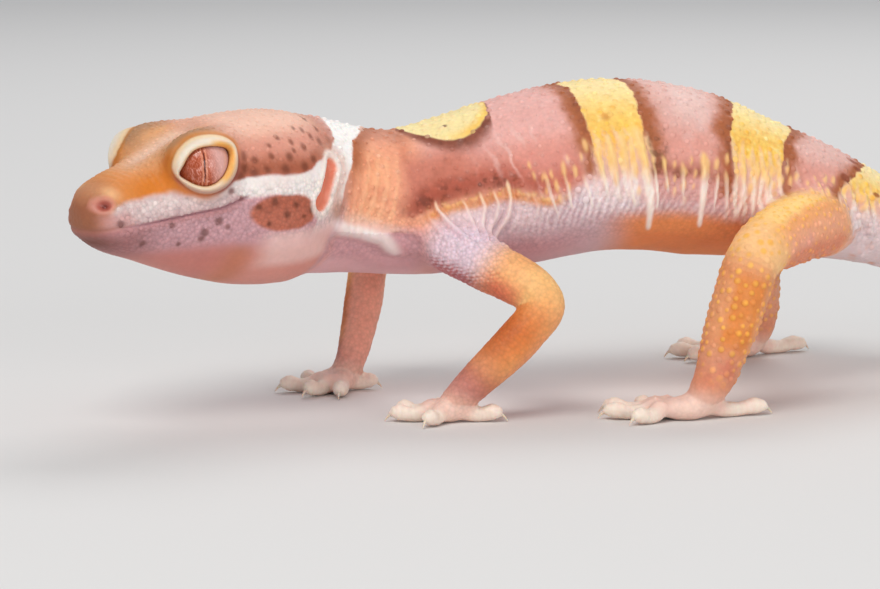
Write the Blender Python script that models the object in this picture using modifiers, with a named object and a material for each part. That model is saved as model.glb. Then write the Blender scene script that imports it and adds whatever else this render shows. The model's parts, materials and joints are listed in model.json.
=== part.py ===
"""A leopard gecko, standing: a still, life-size model.

Every length below is in millimetres and becomes metres at the end. The animal
faces -Y, its left side is +X and it stands on z = 0. The whole body is lofted
from its sections, run together and smoothed, and then parted by thin cuts.
"""
import math

import bmesh
import bpy
import numpy as np
from mathutils import Matrix, Vector

for ob in list(bpy.data.objects):
    bpy.data.objects.remove(ob, do_unlink=True)

MM = 0.001
ORIGIN = (-2.391, 33.68)       # middle of the whole animal's outline, in the sizes below
CUT = 0.3                  # width of the thin cuts that part the body
VOXEL = 0.25               # fineness at which the lofts are run together
BODY_TRIANGLES = 4700      # of the whole body before it is parted

# ---------------- named sizes, millimetres ----------------
HEAD_YAW, HEAD_PITCH, HEAD_LENGTH = 26.0, 4.0, 26.5
SNOUT = (12.8, -41.1, 22.7)
# head sections: distance from the snout, half width, height over the axis, depth under it, level of the widest line, upper and lower roundness
HEAD = (
    (0.00, 0.0, 0.0, 0.0, -0.6, 2.1, 2.0),
    (0.15, 1.5, 1.1, 1.4, -0.6, 2.1, 2.0),
    (0.60, 2.6, 1.9, 2.4, -0.6, 2.1, 2.0),
    (1.50, 3.5, 2.7, 3.3, -0.8, 2.1, 2.0),
    (3.00, 4.3, 3.5, 4.2, -1.0, 2.1, 2.1),
    (6.00, 5.3, 4.8, 5.4, -1.2, 2.0, 2.2),
    (9.00, 6.1, 6.0, 6.7, -1.4, 2.1, 2.2),
    (12.0, 6.9, 7.1, 7.9, -1.6, 2.3, 2.2),
    (15.0, 7.9, 7.8, 8.9, -1.8, 2.4, 2.2),
    (18.0, 8.8, 7.95, 9.8, -2.0, 2.4, 2.2),
    (21.5, 9.3, 7.85, 10.4, -2.1, 2.4, 2.2),
    (24.5, 9.0, 7.7, 10.5, -2.0, 2.3, 2.2),
    (27.0, 8.2, 7.4, 10.2, -1.8, 2.1, 2.2),
)
# the body behind the head: place of its middle (left, back, up), then the same six sizes
BODY = (
    ("neck_front", -0.5, -13.0, 23.2, 7.5, 7.4, 9.1, -1.2, 2.0, 2.1),
    ("neck_rear", -1.3, -6.5, 21.8, 7.0, 7.5, 7.9, -0.6, 2.0, 2.1),
    ("shoulder", -1.3, 0.5, 22.2, 8.0, 8.2, 8.4, -0.8, 2.0, 2.1),
    ("chest", -0.9, 9.0, 23.9, 9.3, 8.9, 9.4, -1.2, 2.0, 2.2),
    ("mid_back", -0.3, 18.0, 25.0, 10.0, 9.3, 9.2, -1.3, 2.0, 2.2),
    ("loin", 0.1, 27.0, 24.3, 9.7, 8.9, 9.1, -1.0, 2.0, 2.2),
    ("rump", 0.2, 35.0, 22.4, 8.4, 7.6, 7.9, -0.4, 2.0, 2.2),
    ("pelvis", 0.0, 42.0, 20.6, 7.0, 6.4, 6.5, 0.0, 2.0, 2.1),
    ("vent", -0.3, 48.5, 18.5, 5.4, 5.1, 5.2, 0.0, 2.0, 2.0),
    ("tail_1", -1.2, 56.0, 15.4, 4.3, 4.4, 4.3, 0.0, 2.0, 2.0),
    ("tail_2", -3.0, 64.0, 11.3, 4.9, 4.7, 4.7, 0.0, 2.0, 2.0),
    ("tail_3", -5.8, 71.5, 7.8, 5.2, 4.9, 5.0, 0.0, 2.0, 2.0),
    ("tail_4", -9.0, 79.0, 5.3, 4.8, 4.5, 4.8, 0.0, 2.0, 2.0),
    ("tail_5", -11.8, 87.0, 3.9, 3.9, 3.7, 4.0, 0.0, 2.0, 2.0),
    ("tail_6", -13.6, 95.0, 2.75, 2.8, 2.7, 2.9, 0.0, 2.0, 2.0),
    ("tail_7", -14.2, 103.0, 1.55, 1.6, 1.6, 1.7, 0.0, 2.0, 2.0),
    ("tail_end", -13.9, 108.0, 0.9, 0.8, 0.8, 1.0, 0.0, 2.0, 2.0),
    ("tail_tip", -13.8, 109.2, 0.75, 0.0, 0.0, 0.0, 0.0, 2.0, 2.0),
)
# the eyes, in the head's own frame: ahead of the snout tip (so negative), to the side, and up
EYE_AT = (-12.0, 4.75, 3.9)
EYE_RADIUS = 3.15
EYE_FORWARD, EYE_UP, EYE_TILT = 20.0, 6.0, 8.0    # where an eye looks, degrees ahead of sideways and up
LID_OUT = 1.85                      # the lids' disc lies this far out from the eye's middle
LID_RADII = (4.05, 3.3, 2.1)     # along the lids, across them, and out
BROW_AT = (-13.6, 4.5, 5.9)
BROW_RADII = (4.4, 2.1, 1.6)

LID_OPENING = (2.75, 1.95)         # half length and half height of the opening between the lids

# where the body is parted: along the spine by how far back, with the cutter's radius
SPINE_CUTS = (("head", -14.6, 12.5), ("neck", -7.6, 9.6), ("chest", 12.0, 12.0), ("belly", 25.6, 11.5),
              ("hips", 49.5, 7.5), ("tail_base", 68.0, 8.0), ("tail_middle", 88.0, 6.5))
# where each limb leaves the body: a point, the outward direction and the cutter's radius
ROOT_CUTS = {
    "arm_left": ((6.4, 1.0, 17.7), (0.857, 0.0, -0.515), 5.0),
    "arm_right": ((-8.3, -2.8, 17.7), (-0.854, 0.0, -0.52), 4.6),
    "leg_left": ((11.2, 35.8, 18.7), (0.80, -0.55, -0.20), 5.6),
    "leg_right": ((-8.0, 42.2, 18.2), (-0.95, 0.10, -0.29), 5.4),
}
# the mouth, in the head's frame (ahead, up): the front of the lips, behind their corner, and under the throat
MOUTH = ((4.0, -2.0), (-17.0, 0.7), (-25.0, -14.0))

# limbs: joints with radius at each
LIMBS = {
    "arm_left": (((3.0, -1.5, 19.0), 3.6), ((8.0, 1.0, 16.7), 3.1), ((14.4, 8.4, 12.6), 2.2), ((14.2, 3.8, 7.6), 2.25), ((13.7, -0.8, 3.4), 1.8), ((13.2, -2.2, 1.9), 1.5)),
    "arm_right": (((-4.5, -2.0, 19.0), 3.6), ((-9.0, -2.8, 17.3), 3.0), ((-14.8, -4.0, 14.6), 2.2), ((-11.6, -5.8, 8.2), 2.1), ((-9.2, -7.6, 3.3), 1.7), ((-8.8, -8.6, 1.9), 1.5)),
    "leg_left": (((3.0, 42.5, 18.7), 4.2), ((8.5, 38.2, 18.9), 3.9), ((16.4, 29.8, 17.3), 2.9), ((17.4, 27.2, 10.2), 2.85), ((18.2, 25.0, 4.4), 2.25), ((18.2, 23.6, 2.2), 1.8)),
    "leg_right": (((-3.0, 42.5, 18.7), 4.2), ((-8.5, 42.2, 18.0), 3.9), ((-18.2, 42.4, 15.0), 2.9), ((-18.8, 43.2, 8.5), 2.6), ((-19.6, 43.6, 3.4), 2.0), ((-19.9, 42.6, 2.0), 1.6)),
}
# feet: centre and radii of the palm, then each toe from its root to its tip (left, back)
PALMS = {
    "hand_left": ((12.9, -2.6, 1.10), (1.95, 1.8, 1.26)),
    "hand_right": ((-8.6, -9.2, 1.10), (1.95, 1.8, 1.26)),
    "foot_left": ((17.9, 21.8, 1.16), (2.0, 3.1, 1.32)),
    "foot_right": ((-20.0, 41.5, 1.16), (2.0, 2.7, 1.32)),
}
TOES = {
    "hand_left": (((12.4, -4.0), (11.6, -8.3)), ((13.9, -3.6), (16.2, -5.8)), ((13.6, -1.4), (14.6, 2.6)), ((11.6, -3.8), (8.6, -6.8)), ((11.4, -2.6), (8.2, -2.4))),
    "hand_right": (((-8.8, -11.0), (-9.4, -15.4)), ((-7.6, -10.4), (-5.2, -13.6)), ((-7.2, -9.2), (-3.4, -10.4)), ((-9.8, -10.0), (-13.2, -12.0)), ((-8.8, -8.2), (-8.8, -5.0))),
    "foot_left": (((17.2, 19.0), (16.0, 13.6)), ((18.8, 18.8), (20.4, 15.4)), ((16.4, 19.2), (12.8, 14.6)), ((16.0, 20.6), (12.2, 18.4)), ((18.2, 24.4), (17.6, 30.8))),
    "foot_right": (((-20.0, 39.0), (-21.2, 33.4)), ((-18.8, 39.0), (-17.4, 34.4)), ((-18.4, 40.4), (-15.2, 37.6)), ((-21.4, 39.6), (-25.2, 35.8)), ((-20.6, 43.8), (-22.2, 50.2))),
}

def rad(a): return math.radians(a)
def unit(v):
    v = np.asarray(v, float); return v/np.linalg.norm(v, axis=-1, keepdims=True)

def pchip(xk, yk, x):
    xk = np.asarray(xk, float); yk = np.asarray(yk, float); x = np.asarray(x, float)
    h = np.diff(xk); d = np.diff(yk)/h
    m = np.zeros(len(xk))
    for i in range(1, len(xk)-1):
        if d[i-1]*d[i] > 0:
            w1 = 2*h[i]+h[i-1]; w2 = h[i]+2*h[i-1]
            m[i] = (w1+w2)/(w1/d[i-1]+w2/d[i])
    m[0] = d[0]; m[-1] = d[-1]
    i = np.clip(np.searchsorted(xk, x)-1, 0, len(h)-1)
    t = (x-xk[i])/h[i]
    return ((1+2*t)*(1-t)**2)*yk[i] + t*(1-t)**2*h[i]*m[i] + t*t*(3-2*t)*yk[i+1] + t*t*(t-1)*h[i]*m[i+1]

def spline(points, n, key=None):
    """A natural cubic through points, by chord length; returns (length from start, points)."""
    p = np.asarray(points, float)
    t = np.concatenate([[0], np.cumsum(np.linalg.norm(np.diff(p, axis=0), axis=1))])
    k = len(p); h = np.diff(t)
    a = np.zeros((k, k)); b = np.zeros((k, p.shape[1]))
    a[0, 0] = a[-1, -1] = 1
    for i in range(1, k-1):
        a[i, i-1] = h[i-1]; a[i, i] = 2*(h[i-1]+h[i]); a[i, i+1] = h[i]
        b[i] = 6*((p[i+1]-p[i])/h[i]-(p[i]-p[i-1])/h[i-1])
    m = np.linalg.solve(a, b)
    x = np.linspace(0, t[-1], n)
    i = np.clip(np.searchsorted(t, x)-1, 0, k-2)
    hi = h[i][:, None]; u = (t[i+1]-x)[:, None]; v = (x-t[i])[:, None]
    q = (m[i]*u**3+m[i+1]*v**3)/(6*hi) + (p[i]/hi-m[i]*hi/6)*u + (p[i+1]/hi-m[i+1]*hi/6)*v
    s = np.concatenate([[0], np.cumsum(np.linalg.norm(np.diff(q, axis=0), axis=1))])
    return s, q

def head_frame():
    y, p = rad(HEAD_YAW), rad(HEAD_PITCH)
    f = np.array([math.sin(y)*math.cos(p), -math.cos(y)*math.cos(p), -math.sin(p)])
    l = np.array([math.cos(y), math.sin(y), 0.0])
    return f, l, np.cross(f, l)

def head_point(fwd, left, up):
    f, l, u = head_frame()
    return np.array(SNOUT)+fwd*f+left*l+up*u

def eye_frame(k):
    """The middle of an eye, and the directions along its lids, across them and outwards (k is 1 on the left, -1 on the right)."""
    f, l, u = head_frame()
    a, b = rad(EYE_FORWARD), rad(EYE_UP)
    out = unit(f*math.sin(a)*math.cos(b)+k*l*math.cos(a)*math.cos(b)+u*math.sin(b))
    along = unit(f-out*(f@out))
    t = rad(EYE_TILT)
    across = np.cross(out, along)*k
    across = across if across@u > 0 else -across
    al, ac = along*math.cos(t)-across*math.sin(t), along*math.sin(t)+across*math.cos(t)
    return head_point(EYE_AT[0], k*EYE_AT[1], EYE_AT[2]), al, ac, out

def spine_curve(n=800):
    f, _, _ = head_frame()
    s0 = np.array(SNOUT)
    pts = [s0 - f*k for k in (0, 7, 13, 19, 24)] + [np.array(q[1:4]) for q in BODY]
    return spline(pts, n)

def axial_frames(s, q):
    t = -np.gradient(q, s, axis=0)
    f = unit(t)
    l = unit(np.cross(np.array([0, 0, 1.0]), f))
    u = np.cross(f, l)
    return f, l, u

def section_table():
    s, q = spine_curve(3000)
    rows = [list(r) for r in HEAD]
    for b in BODY:
        k = np.argmin(np.linalg.norm(q-np.array(b[1:4]), axis=1))
        rows.append([s[k], *b[4:]])
    return np.array(rows, float)
TABLE = None

def sections(s):
    global TABLE
    if TABLE is None: TABLE = section_table()
    tb = TABLE
    x = np.sqrt(np.maximum(tb[:, 0], 0))
    q = np.sqrt(np.maximum(s, 0))
    # rounded at the tail tip as well
    out = [pchip(x, tb[:, k], q) for k in range(1, 7)]
    return out

def ring(s, theta):
    """Local (left, up) of the section at s for angles theta, theta 0 at the top, positive to the left."""
    w, ht, hb, zc, nt, nb = sections(np.atleast_1d(s))
    s_, t_ = np.meshgrid(np.arange(len(w)), theta, indexing="ij")
    c, sn = np.cos(t_), np.sin(t_)
    top = c >= 0
    n = np.where(top, nt[s_], nb[s_])
    hv = np.where(top, ht[s_]-zc[s_]*(ht[s_] > 0), hb[s_]+zc[s_]*(hb[s_] > 0))
    hv = np.maximum(hv, 0)
    rr = (np.abs(c)**n+np.abs(sn)**n)**(-1/n)
    left = w[s_]*rr*sn
    up = hv*rr*c + zc[s_]*np.minimum(1, w[s_]/1.5)
    return left, up

def axial(ns=120, nt=40):
    S, Q = spine_curve()
    total = S[-1]
    g = np.linspace(0, 1, ns)
    # denser near the snout and the tip
    a = total*(g - 0.10*np.sin(2*np.pi*g)/(2*np.pi)*0)
    st = np.concatenate([[0.06, 0.2, 0.45, 0.8, 1.3], np.linspace(2.0, total-1.4, ns), total-np.array([0.9, 0.5, 0.2])])
    C = np.stack([np.interp(st, S, Q[:, k]) for k in range(3)], 1)
    f, l, u = axial_frames(S, Q)
    L = unit(np.stack([np.interp(st, S, l[:, k]) for k in range(3)], 1))
    U = unit(np.stack([np.interp(st, S, u[:, k]) for k in range(3)], 1))
    th = np.linspace(0, 2*np.pi, nt, endpoint=False)
    left, up = ring(st, th)
    P = C[:, None]+left[..., None]*L[:, None]+up[..., None]*U[:, None]
    return tube_faces(P, C[0]+ (C[0]-C[1])*0.3, C[-1]+(C[-1]-C[-2])*0.3)

def tube_faces(P, start, end):
    n, m = P.shape[:2]
    V = np.concatenate([P.reshape(-1, 3), [start], [end]])
    F = []
    for i in range(n-1):
        for j in range(m):
            k = (j+1) % m
            F.append((i*m+j, i*m+k, (i+1)*m+k, (i+1)*m+j))
    for j in range(m):
        k = (j+1) % m
        F.append((n*m, k, j))
        F.append((n*m+1, (n-1)*m+j, (n-1)*m+k))
    return V, F

def rounded_path(joints, n=40, bend=0.35):
    """Points and radii along a limb: straight runs with rounded joints."""
    p = np.array([j[0] for j in joints], float); r = np.array([j[1] for j in joints], float)
    s, q = [p[0]], [r[0]]
    pts = []; rr = []
    for i in range(len(p)-1):
        a, b = p[i], p[i+1]
        la = 0 if i == 0 else bend; lb = 0 if i == len(p)-2 else bend
        t = np.linspace(la, 1-lb, 8)
        pts += [a+(b-a)*x for x in t]; rr += [r[i]+(r[i+1]-r[i])*x for x in t]
        if i < len(p)-2:
            c = p[i+2]
            A, B, C = a+(b-a)*(1-bend), b, b+(c-b)*bend
            ra, rb, rc = r[i]+(r[i+1]-r[i])*(1-bend), r[i+1], r[i+1]+(r[i+2]-r[i+1])*bend
            for x in np.linspace(0, 1, 9)[1:-1]:
                pts.append((1-x)**2*A+2*x*(1-x)*B+x*x*C); rr.append((1-x)**2*ra+2*x*(1-x)*rb+x*x*rc)
    pts = np.array(pts); rr = np.array(rr)
    d = np.concatenate([[0], np.cumsum(np.linalg.norm(np.diff(pts, axis=0), axis=1))])
    x = np.linspace(0, d[-1], n)
    return np.stack([np.interp(x, d, pts[:, k]) for k in range(3)], 1), np.interp(x, d, rr)

def tube(path, radii, m=20, cap=0.6):
    """A round tube along path, with domed ends."""
    t = unit(np.gradient(path, axis=0))
    ref = np.array([0.0, 0.0, 1.0]) if abs(t[0][2]) < 0.8 else np.array([1.0, 0, 0])
    u = unit(np.cross(t[0], ref)); U = []
    for k in range(len(t)):
        u = unit(u-t[k]*(u@t[k])); U.append(u)
    U = np.array(U); W = np.cross(t, U)
    P, R, TT, UU, WW = [], [], [], [], []
    rows = []
    for ang in (80, 55, 30):
        a = rad(ang); rows.append((path[0]-t[0]*radii[0]*cap*math.sin(a), radii[0]*math.cos(a), U[0], W[0]))
    for k in range(len(t)): rows.append((path[k], radii[k], U[k], W[k]))
    for ang in (30, 55, 80):
        a = rad(ang); rows.append((path[-1]+t[-1]*radii[-1]*cap*math.sin(a), radii[-1]*math.cos(a), U[-1], W[-1]))
    th = np.linspace(0, 2*np.pi, m, endpoint=False)
    P = np.array([c+r*(np.cos(th)[:, None]*a+np.sin(th)[:, None]*b) for c, r, a, b in rows])
    V, F = tube_faces(P, path[0]-t[0]*radii[0]*cap, path[-1]+t[-1]*radii[-1]*cap)
    return V, [f[::-1] for f in F]

def ellipsoid(c, r, n=12, m=20, axes=None, flat=2.0):
    """An ellipsoid; flat over 2 squares its rim off towards a disc."""
    axes = np.eye(3) if axes is None else np.array(axes)
    ph = np.linspace(0, np.pi, n+2)[1:-1]; th = np.linspace(0, 2*np.pi, m, endpoint=False)
    k = (np.abs(np.sin(ph))**flat+np.abs(np.cos(ph))**flat)**(-1/flat)
    P = np.array([[[r[0]*q*math.sin(p)*math.cos(t), r[1]*q*math.sin(p)*math.sin(t), r[2]*q*math.cos(p)] for t in th] for p, q in zip(ph, k)])
    P = P@axes+np.array(c)
    V, F = tube_faces(P, np.array(c)+r[2]*axes[2], np.array(c)-r[2]*axes[2])
    return V, [f[::-1] for f in F]

def toe_path(a, b, hand=True, n=18):
    """A toe: down from the palm onto the floor, over the raised last joint and down to the claw."""
    a, b = np.array(a, float), np.array(b, float)
    t = np.linspace(0, 1, n)
    z = pchip([0, 0.3, 0.55, 0.8, 0.93, 1.0], [1.45, 0.81, 0.72, 1.00, 0.95, 0.74], t)
    r = pchip([0, 0.3, 0.6, 0.8, 0.93, 1.0], [1.06, 0.88, 0.80, 0.86, 0.76, 0.52], t)
    d = (b-a); L = np.linalg.norm(d); side = np.array([-d[1], d[0]])/L
    xy = a+d*t[:, None]+side*(0.04*L*np.sin(np.pi*t))[:, None]
    return np.column_stack([xy, z]), r

def claw_path(a, b, n=6):
    a, b = np.array(a, float), np.array(b, float)
    d = unit(b-a)
    t = np.linspace(0, 1, n)
    out = 0.9
    p = np.array([[*(b+d*(0.05+out*x)), 0.80-0.60*x**1.6] for x in t])
    return p, 0.36-0.15*t

# ---------------- Blender objects ----------------
scene_coll = bpy.context.scene.collection
PARTS = bpy.data.collections.new("leopard_gecko")
TOOLS = bpy.data.collections.new("cutters")
scene_coll.children.link(PARTS)
scene_coll.children.link(TOOLS)


def material(name, colour, roughness=0.55, metallic=0.0):
    m = bpy.data.materials.new(name)
    m.use_nodes = True
    b = m.node_tree.nodes["Principled BSDF"]
    b.inputs["Base Color"].default_value = (*colour, 1)
    b.inputs["Roughness"].default_value = roughness
    b.inputs["Metallic"].default_value = metallic
    return m


SKIN = {
    "head": (0.62, 0.34, 0.24), "jaw": (0.66, 0.46, 0.47), "neck": (0.66, 0.36, 0.26),
    "trunk": (0.68, 0.42, 0.38), "tail": (0.76, 0.58, 0.34), "limb": (0.85, 0.47, 0.20), "foot": (0.84, 0.68, 0.58),
}


def mesh_object(name, parts, coll):
    """One object from several closed shells given as (points, faces), in metres."""
    verts, faces = [], []
    for v, f in parts:
        n = len(verts)
        verts += [tuple(MM*(c-o) for c, o in zip(p, (*ORIGIN, 0.0))) for p in v]
        faces += [tuple(n+i for i in q) for q in f]
    me = bpy.data.meshes.new(name)
    me.from_pydata(verts, [], faces)
    me.update()
    bm = bmesh.new()
    bm.from_mesh(me)
    bmesh.ops.recalc_face_normals(bm, faces=bm.faces)
    bm.to_mesh(me)
    bm.free()
    ob = bpy.data.objects.new(name, me)
    coll.objects.link(ob)
    return ob


def world(p):
    return Vector([MM*(p[0]-ORIGIN[0]), MM*(p[1]-ORIGIN[1]), MM*p[2]])


def settle(ob):
    """The object's mesh becomes what its modifiers make of it."""
    dg = bpy.context.evaluated_depsgraph_get()
    me = bpy.data.meshes.new_from_object(ob.evaluated_get(dg), depsgraph=dg)
    old = ob.data
    ob.modifiers.clear()
    ob.data = me
    bpy.data.meshes.remove(old)
    return ob


def as_cutter(ob):
    for c in list(ob.users_collection):
        c.objects.unlink(ob)
    TOOLS.objects.link(ob)
    ob.hide_render = True
    ob.display_type = "WIRE"
    return ob


def disc_cutter(name, at, normal, radius):
    """A thin round plate across a limb or the body, whose two faces are the ends of the two pieces."""
    bm = bmesh.new()
    bmesh.ops.create_cone(bm, cap_ends=True, segments=24, radius1=radius*MM, radius2=radius*MM, depth=CUT*MM)
    turn = Vector(normal).normalized().to_track_quat("Z", "Y").to_matrix().to_4x4()
    bmesh.ops.transform(bm, matrix=Matrix.Translation(world(at)) @ turn, verts=bm.verts)
    me = bpy.data.meshes.new(name)
    bm.to_mesh(me)
    bm.free()
    ob = bpy.data.objects.new(name, me)
    scene_coll.objects.link(ob)
    return as_cutter(ob)


def boolean(ob, tool, operation="DIFFERENCE"):
    m = ob.modifiers.new("cut", "BOOLEAN")
    m.solver = "EXACT"
    m.operation = operation
    m.object = tool
    return settle(ob)


def loose_pieces(ob):
    """The separate closed bodies of a mesh, as lists of face numbers."""
    bm = bmesh.new()
    bm.from_mesh(ob.data)
    bm.faces.ensure_lookup_table()
    seen, groups = set(), []
    for f in bm.faces:
        if f.index in seen:
            continue
        todo, group = [f], []
        seen.add(f.index)
        while todo:
            g = todo.pop()
            group.append(g.index)
            for e in g.edges:
                for h in e.link_faces:
                    if h.index not in seen:
                        seen.add(h.index)
                        todo.append(h)
        groups.append(group)
    out = []
    for group in groups:
        vs = {v for i in group for v in bm.faces[i].verts}
        mid = sum((v.co for v in vs), Vector())/len(vs)
        out.append((group, mid, len(vs)))
    bm.free()
    return out


def take(ob, group, name):
    """A new object from some faces of another."""
    src = ob.data
    idx, verts, faces = {}, [], []
    for i in group:
        face = []
        for v in src.polygons[i].vertices:
            if v not in idx:
                idx[v] = len(verts)
                verts.append(tuple(src.vertices[v].co))
            face.append(idx[v])
        faces.append(face)
    me = bpy.data.meshes.new(name)
    me.from_pydata(verts, [], faces)
    me.update()
    new = bpy.data.objects.new(name, me)
    PARTS.objects.link(new)
    return new


# ---------------- the whole body, run together ----------------
shells = [axial(110, 40)]
HF, HL, HU = head_frame()
for k in (1, -1):
    e, along, across, outward = eye_frame(k)
    shells.append(ellipsoid(e+outward*LID_OUT, LID_RADII, axes=[along, across, outward], flat=3.0))
    shells.append(ellipsoid(head_point(BROW_AT[0], k*BROW_AT[1], BROW_AT[2]), BROW_RADII, axes=[HF, HL, HU]))
LIMB_PATHS = {}
for name, joints in LIMBS.items():
    path, radii = rounded_path(joints)
    LIMB_PATHS[name] = path
    shells.append(tube(path, radii))
for name, (centre, radii) in PALMS.items():
    shells.append(ellipsoid(centre, radii))
for name, toes in TOES.items():
    for root, tip in toes:
        shells.append(tube(*toe_path(root, tip), 14))
        shells.append(tube(*claw_path(root, tip), 8))
body = mesh_object("body", shells, scene_coll)
m = body.modifiers.new("run_together", "REMESH")
m.mode = "VOXEL"
m.voxel_size = VOXEL*MM
m.adaptivity = 0
settle(body)


def soften(ob, centres, radius, times):
    """Smooths the creases near some points, where a limb leaves the body."""
    g = ob.vertex_groups.new(name="soft")
    co = np.empty(len(ob.data.vertices)*3)
    ob.data.vertices.foreach_get("co", co)
    co = co.reshape(-1, 3)
    w = np.zeros(len(co))
    for c in centres:
        d = np.linalg.norm(co-np.array(world(c)), axis=1)/(radius*MM)
        w = np.maximum(w, np.clip(1.6*(1-d), 0, 1))
    for level in range(1, 11):
        hit = np.nonzero((w > (level-1)/10) & (w <= level/10))[0]
        if len(hit):
            g.add([int(i) for i in hit], level/10, "REPLACE")
    s = ob.modifiers.new("soften", "SMOOTH")
    s.factor = 0.5
    s.iterations = times
    s.vertex_group = g.name
    settle(ob)
    ob.vertex_groups.clear()


soften(body, [joints[1][0] for joints in LIMBS.values()], 7.5, 70)
soften(body, [(*c[:2], 1.5) for c, _ in PALMS.values()], 4.0, 12)
soften(body, [head_point(-14, 0, 4)], 13.0, 8)
d = body.modifiers.new("lighten", "DECIMATE")
count = sum(len(p.vertices)-2 for p in body.data.polygons)
d.ratio = BODY_TRIANGLES/count
d.use_collapse_triangulate = True
settle(body)

# the soles and the tail's underside lie flat on z = 0
bm = bmesh.new()
bmesh.ops.create_cube(bm, size=1.0)
bmesh.ops.scale(bm, vec=(0.3, 0.4, 0.02), verts=bm.verts)
bmesh.ops.translate(bm, vec=(0, 0, -0.01), verts=bm.verts)
me = bpy.data.meshes.new("ground_cutter")
bm.to_mesh(me)
bm.free()
ground = bpy.data.objects.new("ground_cutter", me)
scene_coll.objects.link(ground)
as_cutter(ground)
boolean(body, ground)

# ---------------- eyes ----------------
eyes = []
for side, k in (("left", 1), ("right", -1)):
    e, along, across, outward = eye_frame(k)
    turn = Matrix((along, across, outward)).transposed().to_4x4()
    for name, radius, coll in (("eye_"+side, EYE_RADIUS, PARTS), ("socket_"+side, EYE_RADIUS+CUT, scene_coll)):
        bm = bmesh.new()
        bmesh.ops.create_uvsphere(bm, u_segments=16, v_segments=10, radius=radius*MM)
        bmesh.ops.transform(bm, matrix=Matrix.Translation(world(e)) @ turn, verts=bm.verts)
        bmesh.ops.recalc_face_normals(bm, faces=bm.faces)
        me = bpy.data.meshes.new(name)
        bm.to_mesh(me)
        bm.free()
        ob = bpy.data.objects.new(name, me)
        coll.objects.link(ob)
        if coll is PARTS:
            eyes.append(ob)
        else:
            boolean(body, as_cutter(ob))
    # the opening between the lids
    bm = bmesh.new()
    bmesh.ops.create_cone(bm, cap_ends=True, segments=20, radius1=1.0, radius2=1.25, depth=1.0)
    bmesh.ops.transform(bm, matrix=Matrix.Diagonal((LID_OPENING[0]*MM, LID_OPENING[1]*MM, 4*MM, 1)), verts=bm.verts)
    bmesh.ops.transform(bm, matrix=Matrix.Translation(world(e+outward*(2.0+2.0))) @ turn, verts=bm.verts)
    bmesh.ops.recalc_face_normals(bm, faces=bm.faces)
    me = bpy.data.meshes.new("lid_opening_"+side)
    bm.to_mesh(me)
    bm.free()
    ob = bpy.data.objects.new("lid_opening_"+side, me)
    scene_coll.objects.link(ob)
    boolean(body, as_cutter(ob))

# ---------------- thin cuts ----------------
S, Q = spine_curve()
SF, SL, SU = axial_frames(S, Q)


def spine_at(y):
    k = int(np.argmin(np.abs(Q[:, 1]-y)))
    return Q[k], SF[k]


def joint_cut(limb, at):
    """Place and direction of a limb's middle line, nearest to one of its joints."""
    path = LIMB_PATHS[limb]
    k = int(np.argmin(np.linalg.norm(path-np.array(at), axis=1)))
    k = min(max(k, 1), len(path)-2)
    return path[k], path[k+1]-path[k-1]


cuts = []
for name, y, radius in SPINE_CUTS:
    at, way = spine_at(y)
    cuts.append((name, at, way, radius))
for limb, (at, way, radius) in ROOT_CUTS.items():
    cuts.append((limb+"_root", at, way, radius))
for limb, joints in LIMBS.items():
    at, way = joint_cut(limb, joints[2][0])
    cuts.append((limb+"_bend", at, way, 4.2))
    at, way = joint_cut(limb, joints[4][0])
    cuts.append((limb+"_end", at, way, 3.4))
for name, at, way, radius in cuts:
    boolean(body, disc_cutter("cut_"+name, at, way, radius))

# the mouth: a thin bent plate along the line of the lips, then down behind the jaw
profile = [MOUTH[0], MOUTH[1], MOUTH[2]]
d0 = unit(np.array(profile[1])-np.array(profile[0]))
d1 = unit(np.array(profile[2])-np.array(profile[1]))
n0, n1 = np.array([-d0[1], d0[0]]), np.array([-d1[1], d1[0]])
nm = unit(n0+n1)/max(0.3, float(unit(n0+n1)@n0))
h = CUT/2
outline = [np.array(profile[0])+n0*h, np.array(profile[1])+nm*h, np.array(profile[2])+n1*h,
           np.array(profile[2])-n1*h, np.array(profile[1])-nm*h, np.array(profile[0])-n0*h]
verts = [head_point(q[0], w, q[1]) for w in (-14, 14) for q in outline]
faces = [tuple(range(6)), tuple(range(11, 5, -1))]+[(i, (i+1) % 6, 6+(i+1) % 6, 6+i) for i in range(6)]
plate = as_cutter(mesh_object("mouth_cutter", [(verts, faces)], scene_coll))
boolean(body, plate)

# ---------------- the pieces take their names ----------------
anchors = {
    "head": head_point(-19, 0, 4), "lower_jaw": head_point(-9, 0, -4), "neck": (-1, -12, 23),
    "chest": (-1, 3, 24), "belly": (0, 19, 25), "hips": (0, 37, 22),
    "tail_base": (-1.5, 58, 14), "tail_middle": (-9.0, 78, 5.0), "tail_end": (-14, 99, 2),
}
for limb, side in (("arm", "left"), ("arm", "right"), ("leg", "left"), ("leg", "right")):
    j = LIMBS[f"{limb}_{side}"]
    up, low, end = ("upper_arm", "forearm", "hand") if limb == "arm" else ("thigh", "shank", "foot")
    mid = lambda a, b: tuple((x+y)/2 for x, y in zip(a, b))
    anchors[f"{up}_{side}"] = mid(j[1][0], j[2][0])
    anchors[f"{low}_{side}"] = j[3][0]
    anchors[f"{end}_{side}"] = PALMS[f"{end}_{side}"][0]

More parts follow.
